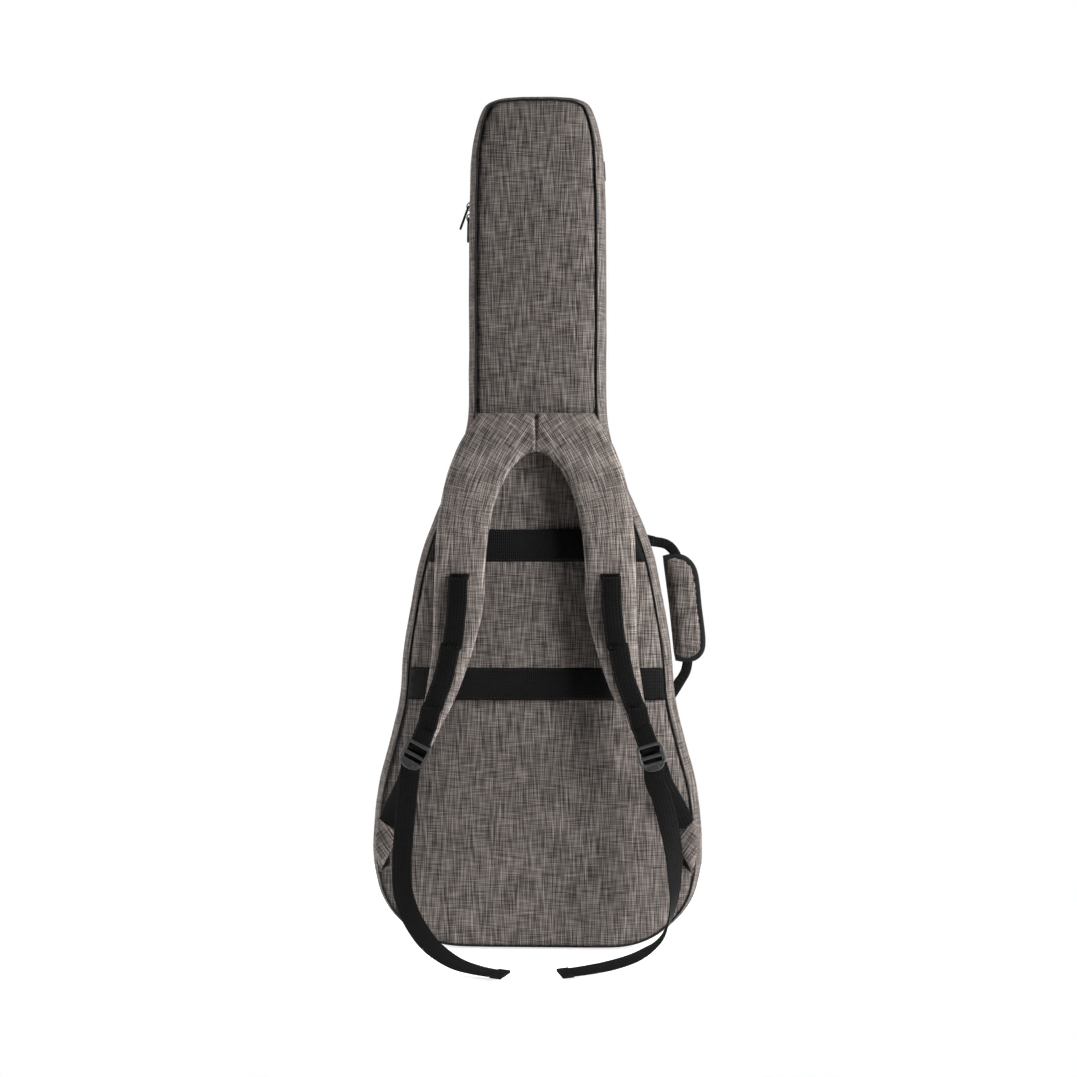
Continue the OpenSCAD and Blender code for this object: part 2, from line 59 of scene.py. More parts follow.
FRONT_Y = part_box("front_panel")[1][1]
POCKET_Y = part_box("pocket_piping")[1][1]
BODY_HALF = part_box("lid_gusset")[1][0]
BAG_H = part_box("lid_gusset")[1][2]
NECK_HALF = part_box("neck_gusset")[1][0]
ZIP_Y = (TAPE_HIGH[1] + LID_TAPE_LOW[1]) / 2
WALL_EDGE_Y = TAPE_LOW[1]            # edge of the back half's wall, at the zip tape
LID_EDGE_Y = LID_TAPE_HIGH[1]        # edge of the lid's wall, at the zip tape
YOKE_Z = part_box("yoke_right")[1][2]
ARCH_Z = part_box("yoke_right")[0][2]  # top of the arch, where the straps start to swing
WEB_W = 0.025
PAD_T = 0.014
LEAN_ANGLE = math.radians(5.5)       # how far the straps hang away from the back
LEAN = math.tan(LEAN_ANGLE)
EDGE_Y = 0.0045                      # how far the piping sits inside the panel's face
BACK_FACE = BACK_Y + EDGE_Y          # the panels' edges, at their piping
FRONT_FACE = FRONT_Y - EDGE_Y
BACK_RISE = 0.026                    # depth over which the wall curves in to the back piping
LID_RISE = 0.020
PANEL_T = 0.0084                     # fabric and foam together
WALL_T = 0.0055
INNER = 0.0115                       # inset of the lining
PIPING_R = 0.0011
LEFT, RIGHT = -1, 1
SIDES = ((LEFT, "left"), (RIGHT, "right"))


def mm(*values):
    return tuple(v / 1000 for v in values)


# ---------------------------------------------------------------- curves and outlines
def spline(stops, steps):
    """Catmull-Rom curve through the stops, as the CAD source draws it."""
    p = np.array(stops, float)
    before = np.vstack([p[:1], p[:-2]])
    after = np.vstack([p[2:], p[-1:]])
    curve = []
    for a, b, c, d in zip(before, p[:-1], p[1:], after):
        for t in np.arange(steps) / steps:
            curve.append(0.5 * (2 * b + (c - a) * t + (2 * a - 5 * b + 4 * c - d) * t ** 2
                                + (3 * b - a - 3 * c + d) * t ** 3))
    curve.append(p[-1])
    return np.array(curve)


def lengths(line):
    """How far along the line each point lies."""
    steps = np.linalg.norm(np.diff(line, axis=0), axis=1)
    return np.concatenate([[0], np.cumsum(steps)])


def at_lengths(values, run, at):
    """Values of points at the distances run, read at other distances."""
    return np.column_stack([np.interp(at, run, values[:, k]) for k in range(values.shape[1])])


def resampled(line, spacing, closed=False):
    """The line with its points at even distances."""
    p = np.vstack([line, line[:1]]) if closed else np.array(line)
    run = lengths(p)
    count = max(2, int(round(run[-1] / spacing)))
    even = at_lengths(p, run, np.linspace(0, run[-1], count + 1))
    return even[:-1] if closed else even


HALF_STOPS = [
    (0, 0), (BODY_HALF * 0.30, 0), (BODY_HALF * 0.54, 0.002), (BODY_HALF * 0.70, 0.013),
    (BODY_HALF * 0.82, 0.031), (BODY_HALF * 0.91, 0.052), (BODY_HALF * 0.97, 0.080), (BODY_HALF, 0.126),
    (BODY_HALF * 0.972, 0.200), (BODY_HALF * 0.90, 0.262), (BODY_HALF * 0.84, 0.318),
    (BODY_HALF * 0.815, 0.376), (BODY_HALF * 0.773, 0.435), (BODY_HALF * 0.71, 0.500),
    (BODY_HALF * 0.63, 0.548), (NECK_HALF * 0.50 + BODY_HALF * 0.315, 0.600),
    (NECK_HALF * 0.88 + BODY_HALF * 0.0756, 0.655), (NECK_HALF, 0.700), (NECK_HALF, 0.800),
    (NECK_HALF * 0.995, 0.900), (NECK_HALF * 0.985, BAG_H - 0.120), (NECK_HALF * 0.94, BAG_H - 0.060),
    (NECK_HALF * 0.80, BAG_H - 0.017), (NECK_HALF * 0.60, BAG_H - 0.004),
    (NECK_HALF * 0.30, BAG_H - 0.0005), (0, BAG_H),
]
OUTLINE_STEP = 0.004


def both_halves(half, spacing):
    """Closed outline from its right half, which runs from the bottom up."""
    return resampled(np.vstack([half, half[-2:0:-1] * [-1, 1]]), spacing, closed=True)


half_line = spline(HALF_STOPS, 12)
half_line[:, 1] = np.clip(half_line[:, 1], 0, BAG_H)
OUTLINE = both_halves(half_line, OUTLINE_STEP)
COUNT = len(OUTLINE)


def normals(line):
    """Outward normals of a closed line that runs anticlockwise."""
    along = np.roll(line, -2, axis=0) - np.roll(line, 2, axis=0)
    across = np.column_stack([along[:, 1], -along[:, 0]])
    return across / np.linalg.norm(across, axis=1)[:, None]


def inset(line, distance):
    """A closed line moved inwards; distance is one number or one for each point."""
    return line - normals(line) * np.reshape(distance, (-1, 1))


OUT = normals(OUTLINE)
# How far the piping lies inside the widest line of the wall, by height
PIPING_INSET = np.interp(
    OUTLINE[:, 1],
    mm(0, 12, 60, 160, 300, 1000, 1060, 1090),
    mm(4, 4.5, 7, 10.5, 11, 10.5, 9, 8))
PIPING_LINE = inset(OUTLINE, PIPING_INSET)


def index_at(z):
    """Number of the outline point nearest to a height on the right side."""
    right = OUTLINE[:COUNT // 2]
    return int(np.argmin(np.abs(right[:, 1] - z) + (right[:, 0] < NECK_HALF * 0.5)))


def in_space(flat, y):
    """Points of X and Z at the given Y, which is one number or one for each point."""
    return np.column_stack([flat[:, 0], np.broadcast_to(y, len(flat)), flat[:, 1]])


def level(y):
    """A flat middle surface at one Y."""
    return lambda points: np.full(len(points), y)


# ---------------------------------------------------------------- mesh helpers
def smooth_noise(points, size, seed):
    """Noise between -1 and 1 for each point, flat or not, with features of the given size."""
    shift = Vector((seed * 13.7, seed * 7.1, seed * 3.3))
    return np.array([noise.noise(Vector((*p, 0)[:3]) / size + shift) for p in points])


def linked(name, mesh):
    obj = bpy.data.objects.new(name, mesh)
    bpy.context.collection.objects.link(obj)
    return obj


def from_bmesh(name, bm):
    mesh = bpy.data.meshes.new(name)
    bm.to_mesh(mesh)
    bm.free()
    return linked(name, mesh)


def set_cloth(mesh, cloth):
    """Stores where each point lies on its cloth, which is what the weaves are painted by."""
    layer = mesh.attributes.new("cloth", "FLOAT_VECTOR", "POINT")
    flat = np.zeros((len(mesh.vertices), 3))
    flat[:, :2] = cloth
    layer.data.foreach_set("vector", flat.ravel())


def set_smooth(obj, smooth=True):
    obj.data.polygons.foreach_set("use_smooth", [smooth] * len(obj.data.polygons))


def new_object(name, verts, faces, cloth=None, smooth=True):
    mesh = bpy.data.meshes.new(name)
    mesh.from_pydata([tuple(v) for v in verts], [], [tuple(int(i) for i in f) for f in faces])
    mesh.validate()
    if cloth is not None:
        set_cloth(mesh, cloth)
    obj = linked(name, mesh)
    set_smooth(obj, smooth)
    return obj


def face_out(obj, weld=0.0):
    """Turns the faces of a closed piece outwards, after joining points closer than weld."""
    bm = bmesh.new()
    bm.from_mesh(obj.data)
    if weld:
        bmesh.ops.remove_doubles(bm, verts=bm.verts, dist=weld)
    bmesh.ops.recalc_face_normals(bm, faces=bm.faces)
    bm.to_mesh(obj.data)
    bm.free()


def turn_to(obj, number, direction):
    """Flips the faces of a sheet if the numbered one looks away from a direction."""
    if obj.data.polygons[number].normal.dot(Vector(direction)) < 0:
        obj.data.flip_normals()


def apply_modifiers(obj):
    bpy.context.view_layer.update()
    done = obj.evaluated_get(bpy.context.evaluated_depsgraph_get())
    mesh = bpy.data.meshes.new_from_object(done)
    obj.modifiers.clear()
    obj.data = mesh


def thicken(obj, thickness):
    """Gives a sheet its thickness, away from the side that its faces look to."""
    solid = obj.modifiers.new("thickness", "SOLIDIFY")
    solid.thickness = thickness
    solid.offset = -1
    apply_modifiers(obj)


def bevelled(obj, width, segments=2, angle=30):
    """Rounds the edges that turn by more than an angle in degrees."""
    edge = obj.modifiers.new("edge", "BEVEL")
    edge.width = width
    edge.segments = segments
    edge.angle_limit = math.radians(angle)
    apply_modifiers(obj)


def grid_faces(rows, columns, wrap=False, flip=False):
    """Quads of a grid of points; wrap joins the last row to the first."""
    faces = []
    for i in range(rows if wrap else rows - 1):
        j = (i + 1) % rows
        for k in range(columns - 1):
            quad = (i * columns + k, i * columns + k + 1, j * columns + k + 1, j * columns + k)
            faces.append(quad[::-1] if flip else quad)
    return faces


def inside(points, line):
    """Which points lie inside a closed line."""
    hit = np.zeros(len(points), bool)
    for (x0, z0), (x1, z1) in zip(line, np.roll(line, -1, axis=0)):
        if z0 == z1:
            continue
        crosses = (points[:, 1] < z0) != (points[:, 1] < z1)
        hit ^= crosses & (points[:, 0] < x0 + (points[:, 1] - z0) * (x1 - x0) / (z1 - z0))
    return hit


def along_edge(points, line):
    """For each point its distance from an open line and how far along the line it lies."""
    a, b = np.array(line[:-1]), np.array(line[1:])
    span = b - a
    size = np.maximum((span ** 2).sum(1), 1e-14)
    run = lengths(line)
    found = []
    for p in np.array_split(points, len(points) // 2000 + 1):
        t = np.clip(((p[:, None, :] - a) * span).sum(2) / size, 0, 1)
        gap = np.linalg.norm(p[:, None, :] - a - t[..., None] * span, axis=2)
        rows, near = np.arange(len(p)), gap.argmin(1)
        found.append(np.column_stack([gap[rows, near], run[near] + t[rows, near] * np.sqrt(size[near])]))
    return np.vstack(found)


def edge_distance(points, line, closed=True):
    """Distance of each point to a line."""
    return along_edge(points, np.vstack([line, line[:1]]) if closed else line)[:, 0]


def filled(line, spacing):
    """Points and triangles that fill a closed line, the line's own points first."""
    low, high = line.min(0), line.max(0)
    rows = np.arange(low[1], high[1], spacing * 0.866)
    lattice = np.array([(x + (k % 2) * spacing / 2, z)
                        for k, z in enumerate(rows) for x in np.arange(low[0], high[0], spacing)])
    lattice = lattice[inside(lattice, line)]
    lattice = lattice[edge_distance(lattice, line) > spacing * 0.55]
    points = np.vstack([line, lattice])
    loop = list(range(len(line)))
    result = geometry.delaunay_2d_cdt([Vector(p) for p in points], [], [loop], 1, 1e-7)
    return np.array([tuple(v) for v in result[0]]), [tuple(f) for f in result[2]]


def patch(name, line, spacing, height, thickness, front=False):
    """Sheet that fills a closed line in X and Z; height(points, distance to the edge) gives its Y."""
    points, faces = filled(line, spacing)
    y = height(points, edge_distance(points, line))
    obj = new_object(name, in_space(points, y), faces, cloth=points)
    turn_to(obj, 0, (0, 1 if front else -1, 0))
    if thickness:
        thicken(obj, thickness)
    return obj


def rounded_edge(d, radius):
    """0 at an edge, rising on a quarter circle to 1 at the radius."""
    t = np.clip(d / radius, 0, 1)
    return np.sqrt(1 - (1 - t) ** 2)


def cushion(name, line, spacing, middle, half_thickness, turn=0.0, grain=None):
    """Closed pad: middle(points) is its middle surface, half_thickness(points, distance) its half depth.

    Its threads run along the grain line where there is one.
    """
    points, faces = filled(line, spacing)
    rim = len(line)
    mid = middle(points)
    half = half_thickness(points, edge_distance(points, line))
    half[:rim] = 0
    verts = np.vstack([in_space(points, mid - half), in_space(points, mid + half)[rim:]])
    shift = len(points) - rim
    other = [tuple(i if i < rim else i + shift for i in f)[::-1] for f in faces]
    turned = np.array([[math.cos(turn), -math.sin(turn)], [math.sin(turn), math.cos(turn)]])
    flat = along_edge(points, grain) if grain is not None else points @ turned.T
    obj = new_object(name, verts, list(faces) + other, cloth=np.vstack([flat, flat[rim:]]))
    face_out(obj)
    return obj


def corner_arcs(steps):
    """Signs and angles of the points round the four rounded corners of a rectangle."""
    for across, up, start in ((1, 1, 0), (-1, 1, 90), (-1, -1, 180), (1, -1, 270)):
        for a in np.radians(np.linspace(start, start + 90, steps)):
            yield across, up, a


def rounded_section(width, thick, corner, steps=3):
    """Section of a flat band: offsets across and off it, round the outside."""
    return np.array([(cx * (width / 2 - corner) + corner * math.cos(a),
                      cy * (thick / 2 - corner) + corner * math.sin(a)) for cx, cy, a in corner_arcs(steps)])


def circle_section(radius, count=10):
    a = np.arange(count) * 2 * math.pi / count
    return np.column_stack([np.cos(a), np.sin(a)]) * radius


def swept(name, line, across, section, closed=False):
    """Closed solid: a section carried along a line; across is its width direction, or one for each point."""
    p = np.array(line)
    along = np.roll(p, -1, axis=0) - np.roll(p, 1, axis=0) if closed else np.gradient(p, axis=0)
    along /= np.linalg.norm(along, axis=1)[:, None]
    w = np.array(np.broadcast_to(across, p.shape), float)
    w -= (w * along).sum(1)[:, None] * along
    w /= np.linalg.norm(w, axis=1)[:, None]
    off = np.cross(along, w)
    n = len(section)
    verts = p[:, None, :] + section[None, :, :1] * w[:, None, :] + section[None, :, 1:] * off[:, None, :]
    cloth = np.column_stack([np.repeat(lengths(p), n), np.tile(section[:, 0], len(p))])
    faces = []
    for i in range(len(p) if closed else len(p) - 1):
        j = (i + 1) % len(p)
        for k in range(n):
            m = (k + 1) % n
            faces.append((i * n + k, i * n + m, j * n + m, j * n + k))
    if not closed:
        faces.append(tuple(range(n))[::-1])
        faces.append(tuple(range((len(p) - 1) * n, len(p) * n)))
    obj = new_object(name, verts.reshape(-1, 3), faces, cloth=cloth)
    face_out(obj)
    return obj


HEXAGON = [k * math.tau / 6 for k in range(6)]


def beads(name, rings):
    """Closed six-sided beads, such as stitches and coil teeth, from four rings of six points each."""
    verts = np.reshape(rings, (-1, 3))
    faces = []
    for first in range(0, len(verts), 24):
        for ring in range(first, first + 18, 6):
            for a in range(6):
                b = (a + 1) % 6
                faces.append((ring + a, ring + b, ring + 6 + b, ring + 6 + a))
        faces.append(tuple(range(first, first + 6))[::-1])
        faces.append(tuple(range(first + 18, first + 24)))
    return new_object(name, verts, faces, cloth=verts[:, [0, 2]])


def tooth(centre, across, up, ends):
    """Rings of one coil tooth along Y; across and up are its half widths, ends each ring's depth and size."""
    return [[centre + (0, depth, 0) + (across * math.cos(a) + up * math.sin(a)) * size for a in HEXAGON]
            for depth, size in ends]


def merged(name, objects):
    """Joins pieces into one object."""
    bm = bmesh.new()
    for obj in objects:
        bm.from_mesh(obj.data)
        mesh = obj.data
        bpy.data.objects.remove(obj)
        bpy.data.meshes.remove(mesh)
    return from_bmesh(name, bm)


def soft_box(name, low, high, radius, levels=2):
    """Box with rounded edges, between two corners."""
    bm = bmesh.new()
    bmesh.ops.create_cube(bm, size=1)
    for v in bm.verts:
        v.co = Vector([(low[k] + high[k]) / 2 + v.co[k] * (high[k] - low[k]) for k in range(3)])
    bmesh.ops.bevel(bm, geom=list(bm.edges), offset=radius, segments=levels + 1, affect="EDGES", profile=0.5)
    obj = from_bmesh(name, bm)
    set_cloth(obj.data, [(v.co.x, v.co.z + v.co.y) for v in obj.data.vertices])
    set_smooth(obj)
    return obj


def local_piece(obj, matrix):
    """Puts a piece that was built in its own frame where the matrix says."""
    obj.data.transform(matrix)
    if matrix.determinant() < 0:
        obj.data.flip_normals()
    return obj


def on_side(obj, side):
    """A piece built for the right side, mirrored if it belongs on the left."""
    return obj if side == RIGHT else local_piece(obj, Matrix.Scale(-1, 4, (1, 0, 0)))


# ---------------------------------------------------------------- materials
WAVE_PERIOD = math.tau / 20           # a wave texture of this scale repeats once a metre


class Paint:
    """Short names for the nodes of one material."""

    def __init__(self, name):
        self.material = bpy.data.materials.new(name)
        self.material.use_nodes = True
        self.tree = self.material.node_tree
        self.shader = self.tree.nodes["Principled BSDF"]

    def link(self, source, target):
        if isinstance(source, (int, float, tuple)):
            target.default_value = source
        else:
            self.tree.links.new(source, target)

    def add(self, kind, inputs=(), **values):
        """New node with its settings; inputs pairs a socket with a value or another socket."""
        node = self.tree.nodes.new(kind)
        for key, value in values.items():
            setattr(node, key, value)
        for key, value in inputs:
            self.link(value, node.inputs[key])
        return node

    def cloth(self):
        return self.add("ShaderNodeAttribute", attribute_name="cloth").outputs["Vector"]

    def place(self):
        return self.add("ShaderNodeTexCoord").outputs["Object"]

    def scaled(self, vector, scale):
        return self.add("ShaderNodeMapping", (("Vector", vector), ("Scale", scale))).outputs["Vector"]

    def noise(self, vector, detail=2.0, rough=0.5):
        inputs = (("Vector", vector), ("Scale", 1.0), ("Detail", detail), ("Roughness", rough))
        return self.add("ShaderNodeTexNoise", inputs).outputs["Fac"]

    def threads(self, vector, across, along, seed, weft=False):
        """Streaks along one thread direction, each thread set off along its length by chance."""
        scale = (along, across, seed) if weft else (across, along, seed)
        loose = (0, across / 6, seed) if weft else (across / 6, 0, seed)
        offset = self.math("MULTIPLY", self.noise(self.scaled(vector, loose), 0.0), 6.0)
        shift = self.add("ShaderNodeCombineXYZ", (("X" if weft else "Y", offset),)).outputs[0]
        inputs = ((0, self.scaled(vector, scale)), (1, shift))
        return self.noise(self.add("ShaderNodeVectorMath", inputs, operation="ADD").outputs[0], 0.0, 0.6)

    def wave(self, vector, axis, scale, distortion=0.0):
        inputs = (("Vector", vector), ("Scale", scale), ("Distortion", distortion))
        return self.add("ShaderNodeTexWave", inputs, bands_direction=axis).outputs["Fac"]

    def math(self, operation, *values, clamp=False):
        return self.add("ShaderNodeMath", enumerate(values), operation=operation, use_clamp=clamp).outputs[0]

    def total(self, *pairs, start=0.0):
        """Sum of start and of each value times its weight."""
        for value, weight in pairs:
            start = self.math("MULTIPLY_ADD", value, weight, start)
        return start

    def step(self, value, start, slope):
        """0 up to start, then rising by slope to 1 at most; a negative slope rises below start."""
        return self.math("MULTIPLY_ADD", value, slope, -start * slope, clamp=True)

    def ramp(self, value, stops):
        node = self.add("ShaderNodeValToRGB", (("Fac", value),))
        elements = node.color_ramp.elements
        for k, (place, colour) in enumerate(stops):
            element = elements[k] if k < 2 else elements.new(place)
            element.position = place
            element.color = (*colour, 1)
        return node.outputs["Color"]

    def tinted(self, factor, colour, tint):
        """The colour multiplied by a tint where factor is 1."""
        inputs = ((0, factor), (6, colour), (7, (*tint, 1)))
        return self.add("ShaderNodeMix", inputs, data_type="RGBA", blend_type="MULTIPLY").outputs[2]

    def bump(self, height, strength, distance):
        inputs = (("Height", height), ("Strength", strength), ("Distance", distance))
        return self.add("ShaderNodeBump", inputs).outputs["Normal"]

    def finish(self, colour, roughness, normal, sheen=0.0, specular=0.3):
        sockets = (("Base Color", colour), ("Roughness", roughness), ("Normal", normal),
                   ("Sheen Weight", sheen), ("Specular IOR Level", specular))
        for key, value in sockets:
            self.link(value, self.shader.inputs[key])
        return self.material


# Colours of the heathered cloth from its dark threads to its light ones; the ramp's two ends come first
MELANGE_SHADES = (
    (0.06, (0.018, 0.0148, 0.0142)), (0.97, (0.330, 0.294, 0.274)), (0.30, (0.062, 0.0525, 0.0495)),
    (0.52, (0.122, 0.1045, 0.098)), (0.74, (0.198, 0.173, 0.162)))
THREAD_W = 0.00068
RIB_PITCH = 0.0019


def melange(name, tint):
    """Heathered grey-brown cloth with light and dark slubs along both thread directions."""
    p = Paint(name)
    cloth = p.cloth()
    warp = p.threads(cloth, 1 / THREAD_W, 1 / 0.032, 1.5)
    weft = p.threads(cloth, 1 / THREAD_W, 1 / 0.024, 7.5, weft=True)
    speck = p.noise(p.scaled(cloth, (1 / 0.0007, 1 / 0.0007, 1)), 1.0, 0.6)
    cloud = p.noise(p.scaled(cloth, (1 / 0.020, 1 / 0.020, 8)))
    pairs = ((warp, 1.95), (weft, 1.30), (speck, 0.70), (cloud, 0.12))
    value = p.total(*pairs, start=0.5 - sum(weight for _, weight in pairs) / 2)
    for depth, seed, across in ((0.12, 3.5, False), (0.10, 5.5, True)):
        slub = p.threads(cloth, 1 / 0.0010, 1 / 0.050, seed, weft=across)
        value = p.total((p.step(slub, 0.60, 7.0), -depth), (p.step(slub, 0.39, -6.0), depth * 0.25),
                        start=value)
    colour = p.ramp(value, [(place, tuple(c * tint for c in shade)) for place, shade in MELANGE_SHADES])
    olive = p.noise(p.scaled(cloth, (1 / 0.0018, 1 / 0.060, 9)))
    colour = p.tinted(p.step(olive, 0.46, 2.2), colour, (1.00, 1.00, 0.80))
    mauve = p.noise(p.scaled(cloth, (1 / 0.060, 1 / 0.0020, 4)))
    colour = p.tinted(p.step(mauve, 0.50, 2.0), colour, (1.0, 0.89, 0.96))
    ribs = p.math("MULTIPLY", *(p.wave(cloth, axis, WAVE_PERIOD / RIB_PITCH, 0.6) for axis in "XY"))
    height = p.total((value, 1.4), start=ribs)
    return p.finish(colour, p.total((speck, 0.2), start=0.78), p.bump(height, 0.40, 0.0005), 0.04, 0.15)


def webbing(name, level=0.0022):
    """Black ribbed nylon webbing; its attribute runs along and across the band."""
    p = Paint(name)
    cloth = p.cloth()
    ribs = p.wave(cloth, "X", WAVE_PERIOD / 0.0026, 0.4)
    cords = p.wave(cloth, "Y", WAVE_PERIOD / 0.0042, 0.2)
    fuzz = p.noise(p.scaled(cloth, (900, 900, 1)), 2, 0.6)
    wear = p.noise(p.scaled(cloth, (25, 60, 1)), 3)
    height = p.total((ribs, 0.8), (cords, 0.5), (fuzz, 0.5))
    shades = [(place, (level * much,) * 3) for place, much in ((0.15, 0.5), (0.95, 2.6), (0.55, 1.15))]
    colour = p.ramp(p.total((height, 0.35), (wear, 0.4)), shades)
    return p.finish(colour, p.total((fuzz, 0.3), start=0.55), p.bump(height, 0.8, 0.0007), 0.01, 0.09)


def plain_cloth(name, colour, thread=0.0007, sheen=0.03):
    """Smooth woven cloth in one colour, for bindings and linings."""
    p = Paint(name)
    cloth = p.cloth()
    weave = p.math("MULTIPLY", *(p.wave(cloth, axis, 0.5 / thread) for axis in "XY"))
    cloud = p.noise(p.scaled(cloth, (40, 40, 1)), 4, 0.6)
    fuzz = p.noise(p.scaled(cloth, (1500, 1500, 1)), 1)
    shades = [(place, tuple(c * much for c in colour)) for place, much in ((0.3, 0.7), (0.75, 1.5))]
    tone = p.ramp(p.total((cloud, 0.6), (fuzz, 0.4)), shades)
    normal = p.bump(p.math("ADD", weave, fuzz), 0.35, 0.0004)
    return p.finish(tone, p.total((cloud, 0.3), start=0.55), normal, sheen, 0.15)


def moulded(name, colour, roughness=0.35):
    """Moulded plastic or enamelled metal with a fine grain and scuffs all over."""
    p = Paint(name)
    place = p.place()
    grain = p.noise(p.scaled(place, (2500, 2500, 2500)))
    scuffs = p.noise(p.scaled(place, (220, 220, 220)), 5, 0.7)
    shades = [(at, tuple(c * much for c in colour)) for at, much in ((0.35, 0.8), (0.75, 1.6))]
    rough = p.total((scuffs, 0.22), start=roughness)
    return p.finish(p.ramp(scuffs, shades), rough, p.bump(grain, 0.12, 0.0002), 0.0, 0.5)


FABRIC = melange("melange_cloth", 0.76)
# The strap pads get a brighter copy of the same cloth: painted light, for the light that the pads catch
STRAP_FABRIC_PAINTED_LIGHT = melange("melange_cloth_straps_painted_light", 1.08)
WEBBING = webbing("black_webbing")
PIPING = plain_cloth("piping_cloth", (0.006, 0.006, 0.0063))
TAPE = plain_cloth("zip_tape_cloth", (0.008, 0.008, 0.0085), thread=0.0005)
LINING = plain_cloth("lining_cloth", (0.030, 0.030, 0.034), thread=0.0005, sheen=0.3)
PLASTIC = moulded("buckle_plastic", (0.024, 0.024, 0.025), 0.30)
METAL = moulded("slider_enamel", (0.014, 0.014, 0.015), 0.28)
TEETH = moulded("coil_nylon", (0.012, 0.012, 0.013), 0.4)
THREAD = plain_cloth("sewing_thread", (0.007, 0.007, 0.007), thread=0.0003)
GREY_THREAD = plain_cloth("grey_thread", (0.075, 0.066, 0.061), thread=0.0003)


def paint(obj, material):
    obj.data.materials.clear()
    obj.data.materials.append(material)


def place(obj, material, body, slot, *nodes):
    """Finishes a piece: its material, the body it rides on, its slot and the CAD nodes it stands for; the
    slot is not used.
    """
    paint(obj, material)
    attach(obj, body)
    if nodes:
        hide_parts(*nodes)


def stretch(obj, material, slot, bodies, start, end, *nodes):
    """Finishes a piece that lies between two bodies: paints it, fixes it in place and hides its CAD nodes;
    the bodies, start and end are not used.
    """
    paint(obj, material)
    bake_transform(obj)
    if nodes:
        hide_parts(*nodes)


# ---------------------------------------------------------------- camera, light and floor
CAMERA_AT = Vector((0.0, 0.0, 0.523))
CAMERA_AZIMUTH = math.radians(3.0)
CAMERA_DISTANCE = 3.0
CAMERA_HEIGHT = 0.50
FLOOR_R = 0.8
WORLD_LIGHT = 0.025                  # light from all round; the backdrop itself is seen pure white


def aimed(name, data, location, target):
    """Camera or light at a place, looking at a target."""
    obj = linked(name, data)
    obj.location = location
    obj.rotation_euler = (Vector(target) - Vector(location)).to_track_quat("-Z", "Y").to_euler()
    return obj


def make_camera():
    data = bpy.data.cameras.new("camera")
    data.lens = 77.25
    data.sensor_width = 36
    location = (
        math.sin(CAMERA_AZIMUTH) * CAMERA_DISTANCE,
        -math.cos(CAMERA_AZIMUTH) * CAMERA_DISTANCE,
        CAMERA_HEIGHT)
    bpy.context.scene.camera = aimed("camera", data, location, CAMERA_AT)


def area_light(name, location, width, height, power, target=(0, 0, 0.55)):
    data = bpy.data.lights.new(name, "AREA")
    data.shape = "RECTANGLE"
    data.size = width
    data.size_y = height
    data.energy = power
    aimed(name, data, location, target)


def make_world():
    """Dim even light, with a pure white backdrop for the camera alone."""
    world = bpy.data.worlds.new("studio")
    bpy.context.scene.world = world
    world.use_nodes = True
    nodes, links = world.node_tree.nodes, world.node_tree.links
    backdrop = nodes.new("ShaderNodeBackground")
    for background, strength in ((nodes["Background"], WORLD_LIGHT), (backdrop, 1.0)):
        background.inputs["Color"].default_value = (1, 1, 1, 1)
        background.inputs["Strength"].default_value = strength
    seen = nodes.new("ShaderNodeLightPath")
    either = nodes.new("ShaderNodeMixShader")
    links.new(seen.outputs["Is Camera Ray"], either.inputs[0])
    links.new(nodes["Background"].outputs[0], either.inputs[1])
    links.new(backdrop.outputs[0], either.inputs[2])
    links.new(either.outputs[0], nodes["World Output"].inputs["Surface"])


def make_floor():
    rim = [(math.cos(a) * FLOOR_R, math.sin(a) * FLOOR_R, 0) for a in np.linspace(0, math.tau, 97)[:-1]]
    floor = new_object("floor", rim, [tuple(range(96))], smooth=False)
    p = Paint("floor")
    cloud = p.noise(p.scaled(p.place(), (3, 3, 3)))
    tone = p.ramp(cloud, ((0.3, (0.84, 0.84, 0.84)), (0.7, (0.86, 0.86, 0.86))))
    p.shader.inputs["Emission Color"].default_value = (1, 1, 1, 1)
    p.shader.inputs["Emission Strength"].default_value = 0.72
    paint(floor, p.finish(tone, 0.8, p.bump(cloud, 0.01, 0.001), 0.0, 0.1))


make_camera()
make_world()
make_floor()
area_light("key", (1.28, -0.57, 0.95), 0.42, 1.4, 58, target=(0, 0, 0.65))
area_light("side", (-1.9, -0.06, 0.75), 0.5, 1.2, 44)
area_light("fill", (-0.5, -3.3, 1.3), 2.4, 2.0, 3)
area_light("back", (0.2, 2.6, 2.2), 2.0, 2.0, 45)
bpy.context.scene.view_settings.view_transform = "Standard"

# ---------------------------------------------------------------- webbing tails (cords)
TAIL_LEFT = [
    (mm(-154.5, -108, 241), (1, 0, 0.1)),
    (mm(-157, -107, 219), (1, 0, 0)),
    (mm(-160, -108, 190), (1, 0, 0)),
    (mm(-163, -111, 154), (1, 0, 0)),
    (mm(-165, -117, 118), (1, 0, 0.05)),
    (mm(-162.5, -129, 85), (1, 0, 0.15)),
    (mm(-153, -147, 61), (0.92, 0.25, 0.3)),
    (mm(-139, -169, 42.5), (0.75, 0.5, 0.42)),
    (mm(-121.5, -195, 27.5), (0.58, 0.72, 0.4)),
    (mm(-101, -221, 17.5), (0.42, 0.84, 0.34)),
    (mm(-80, -243, 11.5), (0.3, 0.91, 0.28)),
    (mm(-54, -262, 8.5), (0.22, 0.95, 0.2)),
    (mm(-25, -276, 7), (0.15, 0.97, 0.17)),
]
